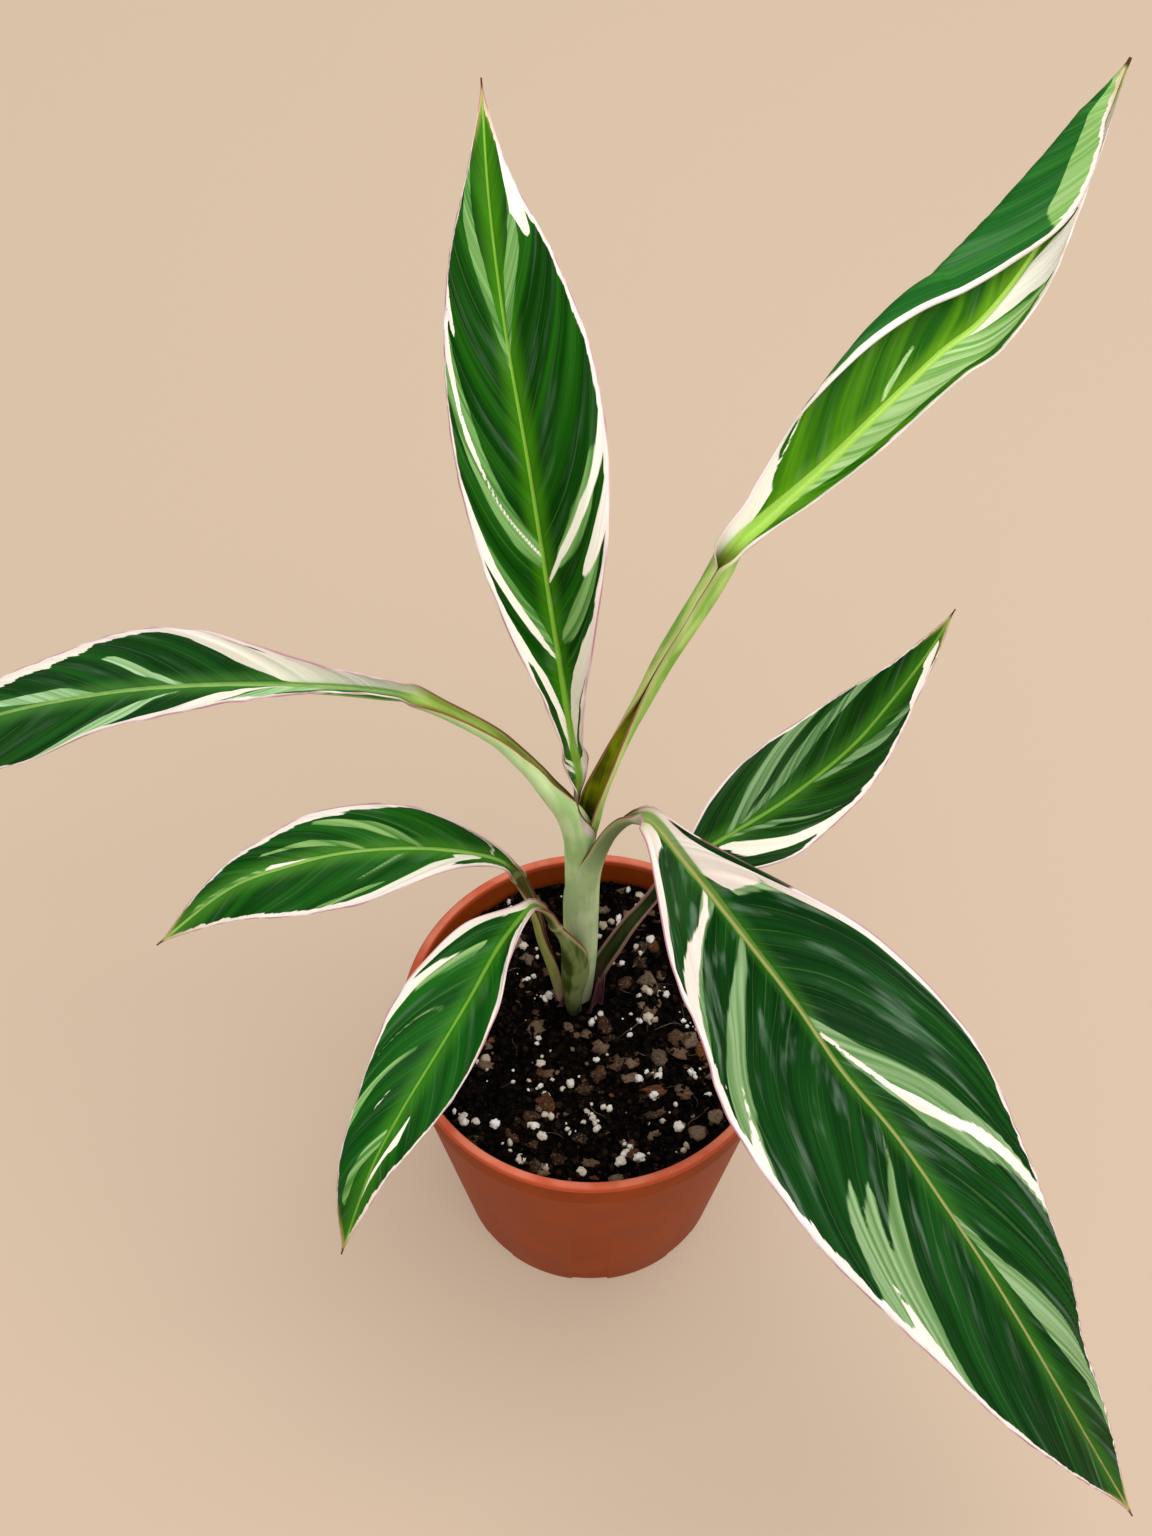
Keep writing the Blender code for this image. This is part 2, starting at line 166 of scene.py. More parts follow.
def channel_cutter():
    """Eight wedges that open out to the foot, with a round drain hole above each."""
    bm = bmesh.new()
    for index in range(CHANNELS):
        turn = Matrix.Rotation(math.tau * index / CHANNELS, 4, "Z")
        wedge = bmesh.ops.create_cube(bm, size=1)["verts"]
        for vert in wedge:
            outward = CHANNEL_INNER if vert.co.y > 0 else CHANNEL_OUTER
            half = CHANNEL_HALF if vert.co.z > 0 else CHANNEL_FOOT_HALF
            vert.co.x = math.copysign(half * outward / BASE_RADIUS, vert.co.x)
            vert.co.y = -outward
            vert.co.z = CHANNEL_HEIGHT if vert.co.z > 0 else -1.0
        bmesh.ops.scale(bm, vec=(MM, MM, MM), verts=wedge)
        bmesh.ops.transform(bm, matrix=turn, verts=wedge)
        hole = turn @ Matrix.Translation((0, -HOLE_REACH * MM, CHANNEL_HEIGHT * MM))
        bmesh.ops.create_cone(bm, cap_ends=True, segments=24, radius1=HOLE_RADIUS * MM,
                              radius2=HOLE_RADIUS * MM, depth=2 * CHANNEL_HEIGHT * MM,
                              matrix=hole)
    bmesh.ops.recalc_face_normals(bm, faces=bm.faces)
    return bm


# The next five helpers add to the node tree of the sockets that they are given.
def calc(operation, a, b=0.0, c=0.0):
    """A sum on sockets and plain numbers."""
    tree = next(value.id_data for value in (a, b, c) if not isinstance(value, (int, float)))
    node = tree.nodes.new("ShaderNodeMath")
    node.operation = operation
    for socket, value in zip(node.inputs, (a, b, c)):
        if isinstance(value, (int, float)):
            socket.default_value = value
        else:
            tree.links.new(value, socket)
    return node.outputs[0]


def tint(factor, a, b):
    """Colour a where the factor is 0 and colour b where it is 1."""
    tree = factor.id_data
    node = tree.nodes.new("ShaderNodeMix")
    node.data_type = "RGBA"
    tree.links.new(factor, node.inputs[0])
    for socket, color in ((node.inputs[6], a), (node.inputs[7], b)):
        if isinstance(color, tuple):
            socket.default_value = (*color, 1)
        else:
            tree.links.new(color, socket)
    return node.outputs[2]


def span(value, low, high, top=1.0):
    """A soft step that rises from 0 at low to top at high."""
    tree = value.id_data
    node = tree.nodes.new("ShaderNodeMapRange")
    node.interpolation_type = "SMOOTHSTEP"
    node.inputs["From Min"].default_value = low
    node.inputs["From Max"].default_value = high
    node.inputs["To Max"].default_value = top
    tree.links.new(value, node.inputs["Value"])
    return node.outputs[0]


def cloud(source, scale, offset=0.0, detail=3.0):
    """Noise stretched by a scale along each axis of the source."""
    tree = source.id_data
    place = tree.nodes.new("ShaderNodeMapping")
    place.inputs["Scale"].default_value = scale
    place.inputs["Location"].default_value = (offset, offset * 1.7, offset * 0.6)
    tree.links.new(source, place.inputs["Vector"])
    node = tree.nodes.new("ShaderNodeTexNoise")
    node.inputs["Scale"].default_value = 1.0
    node.inputs["Detail"].default_value = detail
    tree.links.new(place.outputs[0], node.inputs["Vector"])
    return node.outputs["Fac"]


def rough_bump(shader, height, distance, strength=0.5):
    tree = height.id_data
    node = tree.nodes.new("ShaderNodeBump")
    node.inputs["Strength"].default_value = strength
    node.inputs["Distance"].default_value = distance * MM
    tree.links.new(height, node.inputs["Height"])
    tree.links.new(node.outputs[0], shader.inputs["Normal"])


def pot_plastic():
    """Satin polypropylene: fine mould grain, a lip painted lighter than the wall as painted light,
    with a painted highlight along its top, scuffs, dust low down.
    """
    mat, tree, shader = plain_material("terracotta_plastic", paint(153, 64, 18), 0.45)
    shader.inputs["Specular IOR Level"].default_value = 0.04
    place = tree.nodes.new("ShaderNodeTexCoord").outputs["Object"]
    height = tree.nodes.new("ShaderNodeSeparateXYZ")
    tree.links.new(place, height.inputs[0])
    mottle = cloud(place, (60, 60, 60), 2.0, 4.0)
    grain = cloud(place, (1800, 1800, 1800), 0.0, 2.0)
    scuff = cloud(place, (90, 90, 900), 5.0, 3.0)
    wall = tint(span(mottle, 0.3, 0.7), paint(144, 58, 13), paint(158, 68, 21))
    # The lip is painted lighter than the wall: painted light on the lip and painted shade on the
    # wall.
    painted_lit_lip = span(height.outputs[2], (LIP_FOOT + 0.3) * MM, (LIP_FOOT + 1.2) * MM)
    color = tint(painted_lit_lip, wall, paint(200, 84, 50))
    # A paler band along the top of the lip: a painted highlight.
    brim = span(height.outputs[2], (POT_HEIGHT - 0.7) * MM, (POT_HEIGHT - 0.05) * MM, 0.6)
    brim_highlight = calc("MULTIPLY", span(mottle, 0.3, 0.6), brim)
    color = tint(brim_highlight, color, paint(238, 146, 118))
    low = span(height.outputs[2], 30 * MM, 2 * MM, 0.14)
    dust = calc("MULTIPLY", low, span(mottle, 0.4, 0.7))
    color = tint(dust, color, paint(150, 104, 78))
    color = tint(span(scuff, 0.66, 0.8, 0.18), color, paint(190, 120, 92))
    tree.links.new(color, shader.inputs["Base Color"])
    tree.links.new(calc("MULTIPLY_ADD", mottle, 0.2, 0.36), shader.inputs["Roughness"])
    rough_bump(shader, grain, 0.08, 0.25)
    return mat


inner_lip = RIM_RADIUS - WALL - 2 * STEP
pot_outline = [
    (0, 0), (BASE_RADIUS, 0), (pot_wall(COLLAR_FOOT), COLLAR_FOOT),
    (RIM_RADIUS - STEP, COLLAR_FOOT + STEP), (RIM_RADIUS - STEP, LIP_FOOT),
    (RIM_RADIUS, LIP_FOOT + 0.5), (RIM_RADIUS, POT_HEIGHT), (inner_lip, POT_HEIGHT),
    (inner_lip, COLLAR_FOOT), (pot_wall(POT_FLOOR) - WALL, POT_FLOOR), (0, POT_FLOOR)]
pot_rounds = {1: 1.2, 2: 0.4, 3: 0.5, 4: 0.3, 5: 0.5, 6: 1.3, 7: 1.0, 9: 2.0}    # by corner
pot = piece_from("nursery_pot", turned(pot_outline, pot_rounds, POT_STEPS), pot_plastic())
cutter = piece_from("channel_cutter", channel_cutter())
cut = pot.modifiers.new("channels", "BOOLEAN")
cut.object = cutter
cut.solver = "EXACT"
cut.use_self = True
bpy.context.view_layer.update()
cut_pot = pot.evaluated_get(bpy.context.evaluated_depsgraph_get())
cut_mesh = bpy.data.meshes.new_from_object(cut_pot)
pot.modifiers.clear()
pot.data = cut_mesh
bpy.data.objects.remove(cutter)
pot.data.shade_smooth()
pot.data.set_sharp_from_angle(angle=math.radians(28))
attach(pot, "root")
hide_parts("pot")


# ---------------------------------------------------------------- potting mix
# A dark peat mix fills the pot to a finger's width below its lip. It is loose: crumbs, chips
# of bark, white grains of perlite and a few root fibres lie on it and are half sunk in it.

soil_low, soil_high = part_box("soil")
SOIL_TOP = soil_high[2] / MM
SOIL_RADIUS = soil_high[0] / MM
SIDE_TOP = SOIL_TOP - 2.5          # the mix leaves the pot's wall here and rises a little
SURFACE = SOIL_TOP - 1             # its top before it is made hilly
HILLS = ((0.8, 17), (0.7, 5.5), (0.45, 2.2))    # height and size of its unevenness
SOIL_RINGS, SOIL_STEPS = 66, 220
STEM_SPOT = Vector((0, 13, 0))     # the stems rise from here
CRUMBS, CHIPS, PERLITE_SPILLS, FIBRES = 3400, 230, 120, 36
FIBRE_STEPS = 9
rng = random.Random(7)


def soil_height(x, y):
    """The mix is a little hilly, a little higher round the stems, and lumpy close up."""
    spot = Vector((x, y, 0))
    height = sum(rise * noise.noise(spot / size) for rise, size in HILLS)
    height += 1.2 * math.exp(-((spot - STEM_SPOT).length / 13) ** 2)
    return SOIL_TOP - 0.9 + height


def new_lumps():
    bm = bmesh.new()
    bm.verts.layers.float.new("hue")
    return bm


lump_mesh = bpy.data.meshes.new("one_lump")


def lump(bm, spot, size, turn, jag, fine):
    """Adds one angular crumb, chip or grain. fine 1 has 20 faces and fine 2 has 80."""
    one = new_lumps()
    bmesh.ops.create_icosphere(one, subdivisions=fine, radius=0.5)
    seed = Vector((rng.random(), rng.random(), rng.random())) * 50
    hue = rng.random()
    for vert in one.verts:
        rough = noise.noise(vert.co * 3.1 + seed) + 0.4 * noise.noise(vert.co * 8 + seed)
        vert.co *= 1 + jag * rough
        vert[one.verts.layers.float["hue"]] = hue
    matrix = Matrix.Translation(spot * MM) @ turn.to_matrix().to_4x4()
    one.transform(matrix @ Matrix.Diagonal((*[s * MM for s in size], 1)))
    one.to_mesh(lump_mesh)
    one.free()
    bm.from_mesh(lump_mesh)


def any_turn():
    return Matrix.Rotation(rng.random() * math.tau, 3, "Z").to_euler()


def tumbled():
    axis = Vector((rng.uniform(-1, 1), rng.uniform(-1, 1), rng.uniform(-1, 1)))
    return Matrix.Rotation(rng.random() * math.tau, 3, axis).to_euler()


def soil_spot(margin, clear):
    """A place on the mix, off the wall and off the stems."""
    while True:
        reach = (SOIL_RADIUS - margin) * math.sqrt(rng.random())
        angle = rng.random() * math.tau
        spot = Vector((reach * math.cos(angle), reach * math.sin(angle), 0))
        if (spot - STEM_SPOT).length > clear:
            return spot


def mark(tree, key):
    node = tree.nodes.new("ShaderNodeAttribute")
    node.attribute_name = key
    return node.outputs["Fac"]


def lump_material(name, hues, speck, share, pit, roughness, bump):
    """Each lump has a hue between the given ones, a share of specks, and darker pits."""
    mat, tree, shader = plain_material(name, hues[0], roughness)
    shader.inputs["Specular IOR Level"].default_value = 0.02
    place = tree.nodes.new("ShaderNodeTexCoord").outputs["Object"]
    ramp = tree.nodes.new("ShaderNodeValToRGB")
    for index, hue in enumerate(hues):
        at = index / (len(hues) - 1)
        stop = ramp.color_ramp.elements[index] if index < 2 else ramp.color_ramp.elements.new(at)
        stop.position = at
        stop.color = (*hue, 1)
    tree.links.new(mark(tree, "hue"), ramp.inputs[0])
    pitted = cloud(place, (1400, 1400, 1400), 0.0, 4.0)
    fibrous = cloud(place, (500, 1500, 1500), 3.0, 3.0)
    color = tint(span(pitted, 0.5, 0.7, share), ramp.outputs[0], speck)
    color = tint(span(fibrous, 0.5, 0.3, 0.55), color, pit)
    tree.links.new(color, shader.inputs["Base Color"])
    rough_bump(shader, pitted, bump, 0.6)
    return mat


def ease(t):
    """A soft step from 0 to 1."""
    t = min(max(t, 0.0), 1.0)
    return t * t * (3 - 2 * t)


def peat_finish():
    """Nearly black, with small brown clods."""
    mat, tree, shader = plain_material("peat", paint(14, 10, 8), 0.95)
    shader.inputs["Specular IOR Level"].default_value = 0.02
    place = tree.nodes.new("ShaderNodeTexCoord").outputs["Object"]
    clods = cloud(place, (420, 420, 420), 1.0, 6.0)
    tree.links.new(tint(span(clods, 0.42, 0.72), paint(3, 2, 2), paint(24, 16, 12)),
                   shader.inputs["Base Color"])
    rough_bump(shader, clods, 1.2, 0.9)
    return mat


SOIL_FLOOR = soil_low[2] / MM
rings = [(SOIL_RADIUS * ring / SOIL_RINGS, SURFACE) for ring in range(SOIL_RINGS, 0, -1)]
bm = turned([(0, SOIL_FLOOR), (pot_wall(POT_FLOOR) - WALL - 0.8, SOIL_FLOOR),
             (SOIL_RADIUS, SIDE_TOP), *rings, (0, SURFACE)], {}, SOIL_STEPS)
for vert in bm.verts:
    x, y, z = vert.co / MM
    if z > (SIDE_TOP + SURFACE) / 2:
        by_wall = ease((math.hypot(x, y) - SOIL_RADIUS + 6) / 6)
        vert.co.z = (soil_height(x, y) - 0.8 * by_wall) * MM
soil = piece_from("soil_mix", bm, peat_finish())
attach(soil, "root")
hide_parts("soil")

CRUMB_HUES = (paint(4, 3, 3), paint(8, 6, 5), paint(15, 11, 8), paint(44, 31, 22))
BARK_HUES = (paint(22, 16, 12), paint(70, 50, 36), paint(104, 80, 60), paint(120, 102, 86),
             paint(34, 24, 18), paint(122, 72, 44))
PERLITE_HUES = (paint(244, 240, 232), paint(206, 192, 172), paint(248, 246, 242),
                paint(232, 224, 210), paint(176, 156, 132))
crumb_finish = lump_material("peat_crumbs", CRUMB_HUES, paint(70, 52, 38), 0.3, paint(6, 5, 4),
                             0.95, 0.3)
bark_finish = lump_material("bark", BARK_HUES, paint(160, 130, 100), 0.4, paint(26, 17, 12),
                            0.9, 0.5)
perlite_finish = lump_material("perlite", PERLITE_HUES, paint(186, 168, 140), 0.4,
                               paint(150, 136, 116), 0.85, 0.25)

bm = new_lumps()
for _ in range(CRUMBS):
    spot = soil_spot(0.8, 6)
    size = 0.7 + 2.2 * rng.random() ** 2.5
    shape = [size * rng.uniform(0.6, 1.3) for _ in range(3)]
    spot.z = soil_height(spot.x, spot.y) + 0.1 * size
    lump(bm, spot, shape, tumbled(), 0.5, 1)
crumbs = piece_from("soil_crumbs", bm, crumb_finish)

bm = new_lumps()
for _ in range(CHIPS):
    spot = soil_spot(2.5, 8)
    if spot.x < 0 and rng.random() < 0.35:      # fewer of them lie on the left
        continue
    size = 1.6 + 5.8 * rng.random() ** 2
    shape = (size, size * rng.uniform(0.5, 0.9), size * rng.uniform(0.25, 0.5))
    tilt = Matrix.Rotation(rng.uniform(-0.5, 0.5), 3, "X") @ any_turn().to_matrix()
    spot.z = soil_height(spot.x, spot.y) + rng.uniform(-0.02, 0.12) * size
    lump(bm, spot, shape, tilt.to_euler(), 0.85, 2)
chips = piece_from("bark_chips", bm, bark_finish)

bm = new_lumps()
for _ in range(PERLITE_SPILLS):
    home = soil_spot(3, 8)
    for _ in range(rng.choice((1, 1, 2, 3, 4))):
        spot = home + Vector((rng.uniform(-2.2, 2.2), rng.uniform(-2.2, 2.2), 0))
        size = 0.6 + 2.4 * rng.random() ** 1.5
        shape = [size * rng.uniform(0.65, 1.2) for _ in range(3)]
        spot.z = soil_height(spot.x, spot.y) + rng.uniform(0.05, 0.35) * size
        lump(bm, spot, shape, tumbled(), 0.45, 2)
grains = piece_from("perlite_small", bm, perlite_finish)

for piece, slot in ((crumbs, "potting_mix"), (chips, "bark"), (grains, "perlite")):
    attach(piece, "root")

for kind, finish, jag in (("perlite", perlite_finish, 0.4), ("bark", bark_finish, 0.6)):
    for node in sorted(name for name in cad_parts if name.startswith(kind + "_")):
        low, high = (Vector(corner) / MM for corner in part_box(node))
        middle = (low + high) / 2
        middle.z = soil_height(middle.x, middle.y) + 0.3 * (high.z - low.z)
        bm = new_lumps()
        lump(bm, middle, high - low, any_turn(), jag, 3)
        grain = piece_from("grain_" + node, bm, finish)
        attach(grain, "root")
        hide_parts(node)


def root_fibre(bm, start, heading, length, thick):
    """A fine fibre that wanders over the mix, tapered at both ends."""
    spot = start
    last = None
    for step in range(FIBRE_STEPS + 1):
        spot = spot + heading * (length / FIBRE_STEPS)
        heading = (Matrix.Rotation(rng.uniform(-0.45, 0.45), 3, "Z") @ heading).normalized()
        if math.hypot(spot.x, spot.y) > SOIL_RADIUS - 1.5:
            heading = -heading
        hop = 0.9 * math.sin(math.pi * step / FIBRE_STEPS)
        place = Vector((spot.x, spot.y, soil_height(spot.x, spot.y) + 0.5 + hop)) * MM
        taper = 0.3 + 0.7 * math.sin(math.pi * (0.1 + 0.8 * step / FIBRE_STEPS))
        across = Matrix.Rotation(math.pi / 2, 3, "Z") @ heading * (thick * taper * MM / 2)
        up = Vector((0, 0, across.length))
        ring = [bm.verts.new(place + across * math.cos(turn) + up * math.sin(turn))
                for turn in (0, math.tau / 3, math.tau * 2 / 3)]
        if last:
            for a in range(3):
                b = (a + 1) % 3
                bm.faces.new((last[a], last[b], ring[b], ring[a]))
        else:
            bm.faces.new(reversed(ring))
        last = ring
    bm.faces.new(last)


def fibre_finish():
    """Dry brown, darker where peat clings to it."""
    mat, tree, shader = plain_material("root_fibre", paint(112, 92, 72), 0.8)
    place = tree.nodes.new("ShaderNodeTexCoord").outputs["Object"]
    clinging = span(cloud(place, (120, 120, 120)), 0.4, 0.6)
    tree.links.new(tint(clinging, paint(44, 32, 24), paint(112, 94, 72)),
                   shader.inputs["Base Color"])
    return mat


bm = bmesh.new()
for _ in range(FIBRES):
    start = soil_spot(6, 9)
    angle = rng.random() * math.tau
    root_fibre(bm, start, Vector((math.cos(angle), math.sin(angle), 0)), rng.uniform(4, 14),
               rng.uniform(0.14, 0.32))
bmesh.ops.recalc_face_normals(bm, faces=bm.faces)
fibres = piece_from("root_fibres", bm, fibre_finish())
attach(fibres, "root")


# ---------------------------------------------------------------- trunk
# The plant has no woody trunk: it is leaf sheaths rolled in each other. This is its core, the
# furled sheaths of the next leaves. At its foot are dry purple husks of its first leaves.

# where the core's middle is on its way up, and its radius there
CORE = [(-3.9, 13.6, 95, 3.2), (-3.5, 13.3, 120, 3.5), (-3.3, 13, 150, 3.4),
        (-2.8, 13.2, 175, 2.4), (-2.4, 13.3, 188, 2.0), (-2.3, 13.3, 192, 1.2)]
CORE_SIDES, CORE_RINGS = 48, 40


def along(values, t):
    """The value at t, from 0 to 1, of a smooth run through evenly spaced values."""
    place = min(max(t, 0.0), 1.0) * (len(values) - 1)
    index = min(int(place), len(values) - 2)
    part = place - index
    before = values[max(index - 1, 0)]
    a, b = values[index], values[index + 1]
    after = values[min(index + 2, len(values) - 1)]
    return 0.5 * ((2 * a) + (b - before) * part + (2 * before - 5 * a + 4 * b - after) * part ** 2
                  + (3 * a - before - 3 * b + after) * part ** 3)


def sheath_paper(name, fresh, dry, stripe):
    """Fine fibres run the length of it, over fresh and dry blotches."""
    mat, tree, shader = plain_material(name, fresh, 0.5)
    place = tree.nodes.new("ShaderNodeTexCoord").outputs["Object"]
    fibres = cloud(place, (900, 900, 60), 2.0, 3.0)
    blotch = cloud(place, (160, 160, 90), 6.0, 3.0)
    color = tint(span(blotch, 0.4, 0.65), fresh, dry)
    color = tint(span(fibres, 0.45, 0.7, 0.6), color, stripe)
    tree.links.new(color, shader.inputs["Base Color"])
    rough_bump(shader, fibres, 0.3, 0.5)
    return mat


bm = bmesh.new()
ring = bmesh.ops.create_circle(bm, cap_ends=True, segments=CORE_SIDES, radius=1)["verts"]
bmesh.ops.reverse_faces(bm, faces=bm.faces)
x, y, z, radius = CORE[0]
bmesh.ops.transform(bm, matrix=Matrix.Translation(Vector((x, y, z)) * MM)
                    @ Matrix.Scale(radius * MM, 4), verts=ring)
for step in range(1, CORE_RINGS + 1):
    before = Vector((x, y, z)) * MM
    wide = radius
    x, y, z, radius = (along(values, step / CORE_RINGS) for values in zip(*CORE))
    edges = [e for e in bm.edges if all(v in ring for v in e.verts)]
    ring = [v for v in bmesh.ops.extrude_edge_only(bm, edges=edges)["geom"]
            if isinstance(v, bmesh.types.BMVert)]
    bmesh.ops.transform(bm, matrix=Matrix.Translation(Vector((x, y, z)) * MM)
                        @ Matrix.Scale(radius / wide, 4) @ Matrix.Translation(-before), verts=ring)
edges = [e for e in bm.edges if all(v in ring for v in e.verts)]
bmesh.ops.contextual_create(bm, geom=edges)
bmesh.ops.recalc_face_normals(bm, faces=bm.faces)
core = piece_from("trunk_core", bm, sheath_paper("furled_sheaths", paint(190, 204, 150),
                                                 paint(214, 220, 176), paint(168, 186, 128)))
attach(core, "root")
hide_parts("pseudostem")


def husk(name, foot, height, turn, spread, radius, lean, seed):
    """A dry scale that clasps a stem: part of a cone with a torn, pointed top."""
    rng = random.Random(seed)
    bm = bmesh.new()
    bmesh.ops.create_grid(bm, x_segments=28, y_segments=24, size=0.5)
    phase = rng.random() * 50
    for vert in bm.verts:
        across, up = vert.co.x * 2, vert.co.y + 0.5
        top = height * (1 - 0.8 * abs(across) ** 1.5
                        + 0.1 * noise.noise(Vector((across * 4, phase, 0))))
        bend = math.radians(turn + spread * across * (1 - 0.35 * up))
        out = radius * (1 + 0.22 * up) + 0.3 * noise.noise(Vector((across * 3, up * 3, phase)))
        vert.co = Vector((foot[0] + out * math.cos(bend) + lean[0] * up,
                          foot[1] + out * math.sin(bend) + lean[1] * up, foot[2] + top * up)) * MM
    bmesh.ops.recalc_face_normals(bm, faces=bm.faces)
    piece = piece_from(name, bm, husk_paper)
    shell = piece.modifiers.new("thickness", "SOLIDIFY")
    shell.thickness = 0.3 * MM
    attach(piece, "root")


husk_paper = sheath_paper("husk_paper", paint(84, 42, 52), paint(124, 76, 84),
                          paint(52, 28, 26))
husk("husk_front", (-2.6, 11.8, 96.5), 24, -42, 40, 4.9, (0.5, -1.2), 3)
husk("husk_right", (-2.4, 12.8, 96.5), 17, 2, 46, 5.1, (0.7, -0.6), 4)
husk("husk_left", (-9.4, 11.3, 96), 9, -50, 80, 2.7, (-0.8, 0.3), 5)


# ---------------------------------------------------------------- leaves
# Each leaf is one thin blade on a channelled stalk, and its sheath wraps the trunk.
# The blade is green with cream and sage streaks that follow the slanting side veins.

